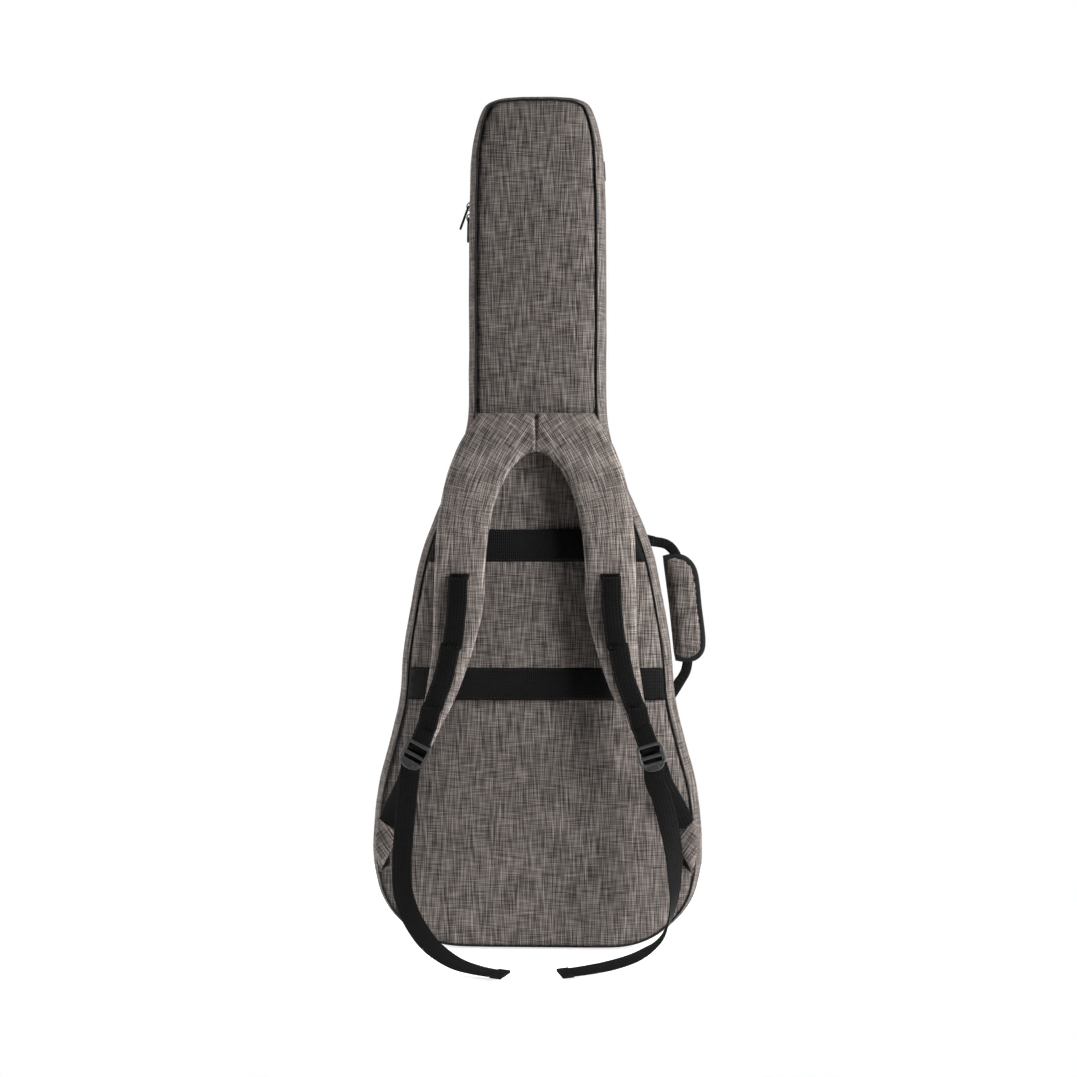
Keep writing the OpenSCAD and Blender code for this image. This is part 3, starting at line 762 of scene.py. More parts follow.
TAIL_RIGHT = [
    (mm(149, -108, 241), (1, 0, -0.1)),
    (mm(151, -107, 219), (1, 0, 0)),
    (mm(159.5, -107.5, 198), (1, 0.1, 0)),
    (mm(168, -109, 165), (0.97, 0.25, 0)),
    (mm(174, -112, 134), (0.88, 0.47, 0)),
    (mm(175.5, -119, 100), (0.65, 0.75, 0)),
    (mm(173.5, -131, 72), (0.35, 0.93, 0)),
    (mm(167.5, -147, 50.5), (0.1, 0.95, -0.15)),
    (mm(158, -168, 34.5), (-0.1, 0.95, -0.1)),
    (mm(142.5, -192, 24), (-0.2, 0.95, 0.05)),
    (mm(122.5, -216, 16.5), (-0.3, 0.93, 0.17)),
    (mm(96.5, -238, 12), (-0.33, 0.92, 0.22)),
    (mm(68.5, -256, 9.5), (-0.32, 0.92, 0.22)),
    (mm(39.5, -268, 7.5), (-0.28, 0.94, 0.2)),
]
HEM_L = 0.018
WEB_T = 0.0016


def make_tail(word, stops):
    line = spline([s[0] for s in stops], 8)
    across = spline([s[1] for s in stops], 8)
    run = lengths(line)
    total = float(run[-1])
    end = run > total - HEM_L
    tail = swept(f"tail_{word}", line, across, rounded_section(WEB_W, WEB_T, WEB_T * 0.45))
    hem = swept(f"hem_{word}", line[end], across[end], rounded_section(WEB_W + 0.001, WEB_T * 2.6, WEB_T))
    place(hem, WEBBING, f"tail_{word}", "webbing", f"tail_hem_{word}")
    place(tail, WEBBING, f"tail_{word}", "webbing", f"strap_tail_{word}")


make_tail("left", TAIL_LEFT)
make_tail("right", TAIL_RIGHT)


# ---------------------------------------------------------------- walls of the bag
def wall_mesh(name, profile, first, last, thickness, unevenness=0.0008, seed=1):
    """Strip of side wall; profile(i) gives (inset, y) pairs for outline point i, from back to front."""
    closed = last - first >= COUNT
    numbers = np.arange(first, first + COUNT if closed else last + 1) % COUNT
    verts, cloth = [], []
    for n, i in enumerate(numbers):
        rows = profile(i)
        for depth, y in rows:
            x, z = OUTLINE[i] - OUT[i] * depth
            verts.append((x, y, z))
            cloth.append((y, n * OUTLINE_STEP))
    verts = np.array(verts)
    columns = len(rows)
    push = smooth_noise(verts, 0.055, seed) + 0.45 * smooth_noise(verts, 0.022, seed + 1)
    fade = np.tile(np.sin(np.linspace(0, math.pi, columns)), len(numbers))
    shift = OUT[numbers].repeat(columns, axis=0) * (push * fade * unevenness)[:, None]
    verts[:, [0, 2]] += shift
    verts[:, 2] = np.maximum(verts[:, 2], 0.0)
    obj = new_object(name, verts, grid_faces(len(numbers), columns, wrap=closed), cloth=cloth)
    x, z = OUT[numbers[len(numbers) // 2]]
    turn_to(obj, len(obj.data.polygons) // 2, (x, 0, z))
    thicken(obj, thickness)
    return obj


def bulge(y, edge_y, rise):
    """1 at the piping, falling to 0 where the wall is at its widest."""
    return max(0.0, 1 - abs(y - edge_y) / rise) ** 2.2


def seam_dip(gap):
    """How far a wall pulls in at a distance from the zip's seam."""
    return 0.0016 * math.exp(-gap / 0.004)


def half_profile(low_y, high_y, panel_y, zip_y, rise, count):
    """Profile of the wall of one half, between its panel's piping and the zip."""
    def profile(i):
        return [(PIPING_INSET[i] * bulge(y, panel_y, rise) + seam_dip(abs(zip_y - y)), y)
                for y in np.linspace(low_y, high_y, count)]
    return profile


def hinge_profile(i):
    depths = np.linspace(WALL_EDGE_Y, LID_EDGE_Y, 11)
    return [(seam_dip(min(y - WALL_EDGE_Y, LID_EDGE_Y - y)), y) for y in depths]


BASE_I = index_at(0.045)
NECK_I = index_at(0.690)
HINGE_LOW_I = index_at(0.052)
HINGE_HIGH_I = index_at(1.000)


def make_walls():
    back = half_profile(BACK_FACE, WALL_EDGE_Y, BACK_FACE, WALL_EDGE_Y, BACK_RISE, 17)
    lid = half_profile(LID_EDGE_Y, FRONT_FACE, FRONT_FACE, LID_EDGE_Y, LID_RISE, 9)
    sections = (
        ("wall_base", COUNT - BASE_I, COUNT + BASE_I, ("base_gusset",)),
        ("wall_left", COUNT - NECK_I, COUNT - BASE_I, ("side_gusset_left",)),
        ("wall_right", BASE_I, NECK_I, ("side_gusset_right",)),
        ("wall_neck", NECK_I, COUNT - NECK_I, ("neck_gusset", "wall_foam")),
    )
    for name, first, last, nodes in sections:
        place(wall_mesh(name, back, first, last, WALL_T), FABRIC, "root", "melange_fabric", *nodes)
    place(wall_mesh("wall_lid", lid, 0, COUNT, WALL_T, seed=4), FABRIC, "lid", "melange_fabric",
          "lid_gusset", "lid_wall_foam")
    hinge = wall_mesh("wall_hinge", hinge_profile, HINGE_LOW_I, HINGE_HIGH_I, 0.003, unevenness=0.0004)
    stretch(hinge, FABRIC, "melange_fabric", ("root", "lid"),
            (0.15, WALL_EDGE_Y + 0.001, 0.5), (0.15, LID_EDGE_Y - 0.001, 0.5))


make_walls()


# ---------------------------------------------------------------- panels
def panel_rise(points, d):
    """How far a padded panel stands out from its piping, fullest over the lower bout."""
    x, z = points.T
    edge = 0.0042 * (1 - np.exp(-d / 0.011))
    belly = 0.0022 * np.clip(d / 0.12, 0, 1)
    low = np.exp(-((z - 0.25) / 0.20) ** 2)
    belly += 0.0160 * low * (1 - np.clip(x / BODY_HALF, -1, 1) ** 2) * rounded_edge(d, 0.10)
    belly -= 0.0050 * np.exp(-((z - 0.56) / 0.07) ** 2 - (x / 0.07) ** 2)
    ripple = 0.0012 * smooth_noise(points, 0.10, 7) + 0.00055 * smooth_noise(points, 0.035, 8)
    return edge + (belly + ripple) * np.clip(d / 0.02, 0, 1)


def back_surface(points, d):
    seam = 0.0022 * np.exp(-((points[:, 1] - YOKE_Z) / 0.004) ** 2)
    return BACK_FACE - panel_rise(points, d) + seam


def front_surface(points, d):
    return FRONT_FACE + panel_rise(points, d)


def make_panels():
    halves = (
        ("back", "root", BACK_FACE - 0.0012, patch("panel_back", PIPING_LINE, 0.0055, back_surface, PANEL_T)),
        ("front", "lid", FRONT_FACE + 0.0012,
         patch("panel_front", PIPING_LINE, 0.0065, front_surface, PANEL_T, front=True)),
    )
    for word, body, piping_y, panel in halves:
        place(panel, FABRIC, body, "melange_fabric", f"{word}_panel", f"{word}_foam")
        line = in_space(PIPING_LINE, piping_y)
        piping = swept(f"piping_{word}", line, (0, 1, 0), circle_section(PIPING_R), closed=True)
        place(piping, PIPING, body, "piping", f"{word}_piping")


make_panels()


# ---------------------------------------------------------------- bands and sleeve across the back
def across_back(z0, z1, margin=0.0006):
    """Closed line round the part of the back panel between two heights."""
    right = inset(PIPING_LINE, PIPING_R + margin)[:COUNT // 2]
    between = (right[:, 1] > z0 + 0.002) & (right[:, 1] < z1 - 0.002)
    ends = [(np.interp(z, right[:, 1], right[:, 0]), z) for z in (z0, z1)]
    side = np.vstack([ends[:1], right[between], ends[1:]])
    return resampled(np.vstack([side, side[::-1] * [-1, 1]]), 0.005, closed=True)


BAND_SAG = 0.0022


def on_back(offset):
    """Surface that lies on the back panel, standing out by offset, and a little more in its middle."""
    def height(points, d):
        rest = back_surface(points, edge_distance(points, PIPING_LINE))
        loose = np.clip(d / 0.05, 0, 1) * BAND_SAG * (1 + 0.5 * smooth_noise(points, 0.09, 21))
        return rest - offset - loose
    return height


def stitch_row(name, line, length=0.0028, gap=0.0016, radius=0.00032):
    """Row of sewn stitches along a line on the strap side."""
    line = resampled(np.array(line), length + gap)
    out = Vector((0, -1, 0))
    rings = []
    for a, b in zip(line[:-1], line[1:]):
        a, b = Vector(a), Vector(b)
        along = (b - a).normalized()
        side = along.cross(out) * 1.4
        b = a + along * length
        for point, size in ((a, 0.4), (a.lerp(b, 0.25), 1), (a.lerp(b, 0.75), 1), (b, 0.4)):
            rings.append([point + (side * math.cos(t) + out * math.sin(t)) * radius * size for t in HEXAGON])
    return beads(name, rings)


def make_bands():
    low_band, high_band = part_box("band_lower"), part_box("band_upper")
    sleeve_line = across_back(low_band[0][2] + 0.004, high_band[1][2] - 0.004, 0.001)
    sleeve = patch("sleeve", sleeve_line, 0.007, on_back(0.0012), 0.0010)
    place(sleeve, FABRIC, "root", "melange_fabric", "back_sleeve")
    for word, (low, high) in (("lower", low_band), ("upper", high_band)):
        line = across_back(low[2], high[2])
        band = patch(f"band_{word}", line, 0.007, on_back(0.0032), 0.0014)
        place(band, WEBBING, "root", "webbing", f"band_{word}")
        rows = []
        for z in (low[2] + 0.003, high[2] - 0.003):
            x = np.arange(line[:, 0].min() + 0.012, line[:, 0].max() - 0.012, 0.004)
            points = np.column_stack([x, np.full(len(x), z)])
            y = on_back(0.0033)(points, edge_distance(points, line))
            rows.append(stitch_row("row", in_space(points, y)))
        place(merged(f"band_{word}_stitches", rows), THREAD, "root", "webbing")


make_bands()

# ---------------------------------------------------------------- shoulder straps
PAD_Y = BACK_Y - 0.0006 - PAD_T / 2  # middle of the pads at the line they swing on
OUTER_STOPS = [
    mm(73.5, 682), mm(86, 662), mm(97, 643), mm(104.5, 626), mm(112, 605), mm(119, 574), mm(125, 533),
    mm(127, 491), mm(128, 446), mm(129, 390), mm(134, 345), mm(141, 305), mm(152, 276),
]
INNER_STOPS = [
    mm(129, 260), mm(115, 290), mm(100, 320), mm(84, 362), mm(70, 410), mm(64, 446), mm(62, 497),
    mm(57, 540), mm(46, 580), mm(32, 609), mm(17, 625), mm(9, 630.5), mm(0.0, 632),
]
PAD_GRAIN = spline([
    mm(20, 775), mm(58, 706), mm(90, 655), mm(112, 605), mm(125, 545), mm(128.5, 491), mm(129.5, 440),
    mm(131, 380), mm(137, 325), mm(147, 280), mm(160, 235),
], 8)                                # the line that the pad's threads follow
WEB_LINE = spline([mm(95, 478), mm(97, 440), mm(103, 395), mm(113, 350), mm(125, 318), mm(140.5, 268)], 8)
WEB_END_Z = WEB_LINE[-1, 1]
WEB_SEAMS = mm(474, 388, 311)        # heights at which the webbing is sewn down to the pad
WEB_BOW = 0.0030                     # how far it stands off the pad between them
WEB_STEP = 0.0026                    # how far it is set sideways at each of them
SEAM_IN = 0.0048                     # how far the pad's edge seam lies inside its edge
LOCK_AT = mm(144.5, 257)             # middle of the lock's top bar before the lean
LOCK_TURN = {LEFT: math.radians(28), RIGHT: math.radians(16)}
PAD_LINE = resampled(
    np.vstack([spline(OUTER_STOPS, 8), spline(INNER_STOPS, 8), [(0.0, YOKE_Z)]]), 0.0035, closed=True)
FREE_EDGE = np.vstack([spline(OUTER_STOPS, 6), spline(INNER_STOPS, 6)])


def pad_middle(points):
    """Middle surface of the pads: it leans off the back and dips where the two yokes are joined."""
    x, z = points.T
    y = PAD_Y - 0.0010 - LEAN * np.maximum(0, ARCH_Z - z)
    top = np.clip((z - ARCH_Z) / (YOKE_Z - ARCH_Z), 0, 1) ** 2
    joined = np.exp(-(x / 0.0022) ** 2) * (z > ARCH_Z + 0.001)
    return y + top * (PAD_T / 2 - 0.0012) - joined * (1 - 0.7 * top) * 0.0086


def pad_half(points, d=None):
    """Half thickness of a strap pad: plump in the middle, pinched at the sewn seams."""
    x, z = points.T
    from_free = edge_distance(points, FREE_EDGE, closed=False)
    from_middle = np.where(z > ARCH_Z, np.abs(x), 1.0)
    ripple = 1 + 0.05 * smooth_noise(points, 0.05, 31) + 0.03 * smooth_noise(points, 0.018, 32)
    crown = 0.0068 + 0.0018 * np.clip(from_free / 0.03, 0, 1)
    sewn = 1 - 0.20 * np.exp(-((from_free - SEAM_IN) / 0.0013) ** 2)
    for seam_z in WEB_SEAMS:
        seam_x = np.interp(seam_z, WEB_LINE[::-1, 1], WEB_LINE[::-1, 0])
        sewn *= 1 - 0.22 * np.exp(-((x - seam_x) / 0.017) ** 2 - ((z - seam_z) / 0.0035) ** 2)
    sewn *= 1 - 0.08 * np.exp(-((z - WEB_SEAMS[0]) / 0.0022) ** 2)
    joins = (0.35 + 0.65 * rounded_edge(YOKE_Z - z, 0.006)) * (0.88 + 0.12 * rounded_edge(from_middle, 0.004))
    return crown * ripple * sewn * rounded_edge(from_free, 0.0042) * joins


def lock_matrix(side):
    """Frame of a ladder lock: X along its bars, -Z down the strap, -Y away from the bag."""
    pivot = Vector((0, PAD_Y, ARCH_Z))
    bar = Vector((LOCK_AT[0], PAD_Y - PAD_T / 2 - 0.001, LOCK_AT[1]))
    leaning = Matrix.Rotation(-LEAN_ANGLE, 4, "X")
    at = pivot + (leaning @ (bar - pivot))
    right = Matrix.Translation(at) @ leaning @ Matrix.Rotation(-LOCK_TURN[side], 4, "Y")
    return right if side == RIGHT else Matrix.Scale(-1, 4, (1, 0, 0)) @ right


def make_pad(side, word):
    pad = cushion(f"strap_{word}", PAD_LINE, 0.0036, pad_middle, pad_half, grain=PAD_GRAIN)
    seam_line = inset(PAD_LINE[::-1], SEAM_IN)
    seam_line = seam_line[seam_line[:, 1] < ARCH_Z - 0.010]
    gap = int(np.argmax(np.linalg.norm(np.roll(seam_line, -1, axis=0) - seam_line, axis=1))) + 1
    seam_line = np.roll(seam_line, -gap, axis=0)
    on_pad = in_space(seam_line, pad_middle(seam_line) - pad_half(seam_line))
    seam = stitch_row(f"strap_seam_{word}", on_pad, length=0.0030, gap=0.0014)
    x = 0.075 * side
    ends = (x, PAD_Y, ARCH_Z + 0.022), (x, PAD_Y - 0.006, ARCH_Z - 0.050)
    # The pad wears the brighter copy of the cloth, which is painted light
    stretch(on_side(pad, side), STRAP_FABRIC_PAINTED_LIGHT, "melange_fabric", ("root", f"strap_{word}"), *ends,
            f"yoke_{word}", f"strap_pad_{word}", f"strap_foam_{word}")
    stretch(on_side(seam, side), GREY_THREAD, "melange_fabric", ("root", f"strap_{word}"), *ends)


LOOP_R = 0.0040                      # of the webbing's middle round the lock's top bar


def web_on_pad(side):
    """Line and width directions of the webbing: down the pad's face and round the lock's top bar."""
    flat = resampled(WEB_LINE, 0.002)
    y = pad_middle(flat) - pad_half(flat) - 0.0011
    for high, low in zip(WEB_SEAMS, WEB_SEAMS[1:] + (WEB_END_Z + 0.018,)):
        t = (high - flat[:, 1]) / (high - low)
        here = (t >= 0) & (t < 1)
        y -= np.where(here, WEB_BOW * np.sin(np.clip(t, 0, 1) * math.pi) ** 0.4, 0)
        flat[:, 0] += np.where(here, WEB_STEP * (0.5 - t), 0)
    on_face = np.clip((flat[:, 1] - WEB_END_Z) / 0.020, 0, 1)
    y = y * on_face + (pad_middle(flat) - 0.0055) * (1 - on_face)
    to_space = lock_matrix(side)
    loop = [to_space @ Vector((0, -LOOP_R * math.cos(a), -LOOP_R * math.sin(a)))
            for a in np.radians(np.linspace(0, 180, 9))]
    loop.append(to_space @ Vector((0, LOOP_R, 0.010)))
    line = np.vstack([(in_space(flat, y) * (side, 1, 1))[:-6], loop])
    bar = np.array(to_space.to_3x3() @ Vector((1, 0, 0)))
    turned = np.clip((np.arange(len(line)) - len(flat) + 22) / 16, 0, 1)[:, None]
    both = np.hstack([line, np.array((side, 0, 0)) * (1 - turned) + bar * turned])
    run = lengths(line)
    both = at_lengths(both, run, np.linspace(0, run[-1], max(2, int(run[-1] / 0.002)) + 1))
    return both[:, :3], both[:, 3:]


def make_strap_web(side, word):
    line, across = web_on_pad(side)
    web = swept(f"strap_web_{word}", line, across, rounded_section(WEB_W, 0.0017, 0.0007))
    place(web, WEBBING, f"strap_{word}", "webbing", f"strap_web_{word}")
    half = across / np.linalg.norm(across, axis=1)[:, None] * 0.0105
    sewn = slice(0, -13)             # the rest goes round the lock's bar
    rows = [stitch_row("row", (line + half * way - (0, 0.0010, 0))[sewn]) for way in (-1, 1)]
    for z in WEB_SEAMS:
        seam = int(np.argmin(np.abs(line[sewn][:, 2] - z)))
        for k in (seam + 1, seam + 2):
            rows.append(stitch_row("row", [line[k] + half[k] * way - (0, 0.0011, 0) for way in (-1, 1)]))
    place(merged(f"strap_web_stitches_{word}", rows), THREAD, f"strap_{word}", "webbing")


# The ladder lock in its own frame: its top bar is on the origin
LOCK_HALF_W = 0.0172
LOCK_TOP, LOCK_BOTTOM, LOCK_FRONT = 0.0065, -0.0208, 0.0092
LOCK_RAIL = 0.0040
LOCK_CORNER = 0.004
LOCK_BAR_R = 0.0025
LOCK_TAB_H = 0.0096
LOCK_TAB_Z = LOCK_BOTTOM + 0.003
LOCK_WEB = [
    (0, 0.0016, -0.0252), (0, -0.0002, -0.0205), (0, -0.0016, -0.0150), (0, -0.0020, -0.0095),
    (0, 0.0010, -0.0058), (0, 0.0052, -0.0052), (0, 0.0068, -0.0100),
]


def lock_ring():
    centre_x = LOCK_HALF_W - LOCK_RAIL / 2
    ring = []
    for cx, cz, a in corner_arcs(6):
        x = cx * (centre_x - LOCK_CORNER) + LOCK_CORNER * math.cos(a)
        edge = LOCK_TOP if cz > 0 else LOCK_BOTTOM
        z = edge - cz * (LOCK_RAIL / 2 + LOCK_CORNER) + LOCK_CORNER * math.sin(a)
        ring.append((x, -LOCK_FRONT + 0.0050 * (LOCK_TOP - z) / (LOCK_TOP - LOCK_BOTTOM), z))
    ring = resampled(np.array(ring), 0.002, closed=True)
    return swept("ring", ring, (0, 1, 0), rounded_section(0.0034, LOCK_RAIL, 0.0013), closed=True)


def lock_tab():
    """Rounded thumb tab below the ring."""
    verts = [(u * (LOCK_HALF_W - 0.0035) * math.sqrt(1 - v ** 2.2), -0.0055 - 0.0025 * v ** 2,
              LOCK_TAB_Z - LOCK_TAB_H * v) for v in np.linspace(0, 0.97, 9) for u in np.linspace(-1, 1, 15)]
    tab = new_object("tab", verts, grid_faces(9, 15), cloth=np.zeros((len(verts), 2)))
    turn_to(tab, 0, (0, -1, 0))
    thicken(tab, 0.0026)
    bevelled(tab, 0.0007)
    return tab


def level_bar(half_w, y, z, count, section):
    line = [(x, y, z) for x in np.linspace(-half_w, half_w, count)]
    return swept("bar", line, (0, 0, 1), section)


def make_lock(side, word):
    """Ladder lock: a frame round two slots, the bar that it tilts on, a middle bar and a thumb tab."""
    parts = [lock_ring()]
    rail_x = LOCK_RAIL / 2 - 0.0003
    for x in (-LOCK_HALF_W + LOCK_RAIL / 2, LOCK_HALF_W - LOCK_RAIL / 2):
        parts.append(soft_box("lug", (x - rail_x, -0.0078, -LOCK_BAR_R), (x + rail_x, LOCK_BAR_R, LOCK_BAR_R),
                              0.0010))
    for z, y in ((0.0, 0.0), (-0.0096, -0.0058)):
        parts.append(level_bar(LOCK_HALF_W - 0.002, y, z, 12, rounded_section(0.0044, 0.0034, 0.0014, 4)))
    parts.append(lock_tab())
    for k in range(3):
        z = LOCK_BOTTOM - 0.0008 - k * 0.0016
        y = -0.0057 - 0.0025 * ((LOCK_TAB_Z - z) / LOCK_TAB_H) ** 2
        parts.append(level_bar(0.006, y, z, 8, circle_section(0.0006, 8)))
    lock = local_piece(merged(f"lock_{word}", parts), lock_matrix(side))
    place(lock, PLASTIC, f"lock_{word}", "buckle_plastic", f"ladder_lock_{word}")
    loop = swept(f"lock_web_{word}", spline(LOCK_WEB, 4), (1, 0, 0), rounded_section(WEB_W, 0.0015, 0.0006))
    place(local_piece(loop, lock_matrix(side)), WEBBING, f"lock_{word}", "webbing")


LOWER_WEB = [
    (mm(189.5, -63.9, 158), (0.78, 0, 0.62)),
    (mm(181, -71, 178), (0.85, 0, 0.5)),
    (mm(169, -84, 201), (0.9, 0, 0.4)),
    (mm(161, -94, 217), (0.95, 0, 0.32)),
    (mm(154, -106, 240), (0.96, 0, 0.28)),
]
TAB_CORNERS = [mm(199, 97), mm(205, 132), mm(202, 168), mm(177, 147), mm(176, 143)]
WEB_END_CORNERS = [mm(202, 96), mm(189, 134), mm(186, 108)]


def make_lower_web(side, word):
    """Web from the lock to the side seam, the tab that holds it and its end below the tab."""
    line = spline([s[0] for s in LOWER_WEB], 8) * (side, 1, 1)
    across = spline([s[1] for s in LOWER_WEB], 8) * (1, 1, side)
    web = swept(f"lower_web_{word}", line, across, rounded_section(WEB_W, 0.0016, 0.0006))
    stretch(web, WEBBING, "webbing", ("root", f"strap_{word}"),
            (side * 0.187, -0.066, 0.166), (side * 0.158, -0.098, 0.225), f"lower_web_{word}")

    def tab_half(points, d):
        return 0.0022 * rounded_edge(d, 0.003) + 0.0012 * np.clip(d / 0.012, 0, 1)

    def end_half(points, d):
        return 0.0009 * rounded_edge(d, 0.001)

    rim = resampled(np.array(TAB_CORNERS), 0.003, closed=True)
    end_rim = resampled(np.array(WEB_END_CORNERS), 0.003, closed=True)
    tab = cushion(f"side_tab_{word}", rim, 0.0035, level(BACK_Y - 0.0028), tab_half, turn=0.6)
    end = cushion(f"web_end_{word}", end_rim, 0.0035, level(BACK_Y - 0.0010), end_half)
    place(on_side(tab, side), FABRIC, "root", "melange_fabric", f"side_tab_{word}")
    place(on_side(end, side), WEBBING, "root", "webbing")


for strap_side, strap_word in SIDES:
    make_pad(strap_side, strap_word)
    make_strap_web(strap_side, strap_word)
    make_lock(strap_side, strap_word)
    make_lower_web(strap_side, strap_word)

# ---------------------------------------------------------------- carrying handle
HANDLE_Y = -0.025
HANDLE_STOPS = [
    mm(148, 519), mm(164, 516), mm(174, 508), mm(180, 494), mm(184, 462), mm(190, 420),
    mm(194, 385), mm(193, 368), mm(190, 352), mm(181, 337),
]
GRIP_STOPS = [
    mm(161, 500), mm(178, 503), mm(194, 497), mm(205, 479), mm(210, 437), mm(215, 390), mm(209, 372),
    mm(195, 365), mm(177, 367),
]
GRIP_INNER = [mm(177, 367), mm(175, 377), mm(169, 436), mm(162, 490), mm(161, 500)]
ANCHOR_STOPS = ([mm(137, 522), mm(150, 519)], [mm(171, 321), mm(176.5, 329.5), mm(183.5, 341)])


def grip_half(points, d):
    """Half depth of the grip: a thin sewn rim round a padded middle."""
    soft = 1 + 0.08 * smooth_noise(points, 0.02, 41)
    return (0.0026 * rounded_edge(d, 0.0025) + 0.0044 * rounded_edge(np.maximum(d - 0.006, 0), 0.010)) * soft


def make_handle():
    line = in_space(spline(HANDLE_STOPS, 8), HANDLE_Y)
    web = swept("handle_web", line, (0, 1, 0), rounded_section(0.0060, 0.0128, 0.0024, 4))
    place(web, WEBBING, "handle", "webbing", "handle_web")
    rim = np.vstack([spline(GRIP_STOPS, 6), resampled(np.array(GRIP_INNER), 0.004)[1:-1]])
    rim = resampled(rim, 0.003, closed=True)[::-1]
    grip = cushion("handle_grip", rim, 0.004, level(HANDLE_Y), grip_half, turn=0.08)
    place(grip, FABRIC, "handle", "melange_fabric", "handle_grip")
    bound = spline(GRIP_STOPS, 8)
    along = np.gradient(bound, axis=0)
    inward = np.column_stack([along[:, 1], -along[:, 0]]) / np.linalg.norm(along, axis=1)[:, None]
    line = in_space(bound + inward * 0.0034, HANDLE_Y)
    binding = swept("handle_binding", line, in_space(inward, 0), rounded_section(0.0085, 0.0068, 0.0026, 4))
    place(binding, PIPING, "handle", "piping", "handle_binding")
    anchors = []
    for stops in ANCHOR_STOPS:
        line = in_space(resampled(spline(stops, 4), 0.002), HANDLE_Y)
        anchors.append(swept("stub", line, (0, 1, 0), rounded_section(0.0066, 0.0134, 0.0026, 4)))
    place(merged("handle_anchors", anchors), WEBBING, "root", "webbing", "handle_anchors")


make_handle()

# ---------------------------------------------------------------- main zip
ZIP_I = np.arange(HINGE_HIGH_I, COUNT + HINGE_LOW_I + 1) % COUNT
TOOTH_PITCH = 0.0026
MAIN_TOOTH = ((-0.0016, 0.55), (-0.0008, 1), (0.0008, 1), (0.0016, 0.55))
POCKET_TOOTH = ((-0.0014, 0.5), (-0.0006, 1), (0.0006, 1), (0.0014, 0.5))


def make_tape(name, body, y_edge, y_zip, toward, node):
    out, base = OUT[ZIP_I], OUTLINE[ZIP_I]
    verts, cloth = [], []
    for n, (p, o) in enumerate(zip(base, out)):
        for t in (0, 0.3, 0.6, 0.85, 1.0):
            y = y_edge - toward * 0.002 + (y_zip - y_edge + toward * 0.0012) * t
            x, z = p - o * (0.0022 - 0.0006 * t)
            verts.append((x, y, z))
            cloth.append((n * OUTLINE_STEP, y))
    tape = new_object(name, verts, grid_faces(len(base), 5, flip=toward < 0), cloth=cloth)
    i = len(tape.data.polygons) // 2
    x, z = out[min(len(out) - 1, i // 4)]
    turn_to(tape, i, (x, 0, z))
    thicken(tape, 0.0012)
    place(tape, TAPE, body, "zip_tape", node)


def make_teeth(name, body, y_zip, toward):
    line = resampled(OUTLINE[ZIP_I] - OUT[ZIP_I] * 0.0010, TOOTH_PITCH)
    out = np.column_stack([np.gradient(line[:, 1]), -np.gradient(line[:, 0])])
    out /= np.linalg.norm(out, axis=1)[:, None]
    rings = []
    for (x, z), (out_x, out_z) in zip(line, out):
        along = np.array((-out_z, 0, out_x))
        centre = np.array((x, y_zip + toward * 0.0004, z)) + along * (TOOTH_PITCH / 2 if toward < 0 else 0)
        rings += tooth(centre, along * 0.00085, np.array((out_x, 0, out_z)) * 0.0010, MAIN_TOOTH)
    teeth = beads(f"{name}_teeth", rings)
    face_out(teeth)
    place(teeth, TEETH, body, "zip_tape")


def make_zip(name, body, y_edge, y_zip, node):
    """One woven tape and its row of coil teeth."""
    toward = 1 if y_zip > y_edge else -1
    make_tape(name, body, y_edge, y_zip, toward, node)
    make_teeth(name, body, y_zip, toward)


def bail(origin, along, up):
    """Arched bridge of a slider, from one end of its plate to the other."""
    line = [Vector(origin) + Vector(along) * math.cos(a) + Vector(up) * math.sin(a)
            for a in np.linspace(0, math.pi, 14)]
    return swept("bail", line, (0, 1, 0), rounded_section(0.0026, 0.0011, 0.0004))


def make_slider(name, node):
    """Slider body with its bail, on the left of the neck; says where its pull hangs."""
    low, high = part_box(node)
    z = (low[2] + high[2]) / 2
    plate = low[0] + 0.0034                  # outer face of the plate, under the bail
    half_w, half_h = 0.005, 0.0065
    parts = [
        soft_box("plate", (plate, ZIP_Y - half_w, z - half_h),
                 (plate + 0.0024, ZIP_Y + half_w, z + half_h), 0.0009),
        soft_box("nose", (plate + 0.001, ZIP_Y - 0.0006, z - 0.003), (high[0], ZIP_Y + 0.0006, z + 0.003),
                 0.0003),
        soft_box("under", (high[0] - 0.0009, ZIP_Y - half_w, z - half_h),
                 (high[0] + 0.0006, ZIP_Y + 0.0006, z + half_h), 0.0005),
        bail((plate + 0.0006, ZIP_Y, z), (0, 0, 0.0052), (-0.0042, 0, 0)),
    ]
    place(merged(name, parts), METAL, node, "zip_metal", node)
    return Vector((low[0] + 0.002, ZIP_Y, z))


HOLE_R = 0.0016                      # of the hole near a pull's end
HOLE_UP = 0.0055


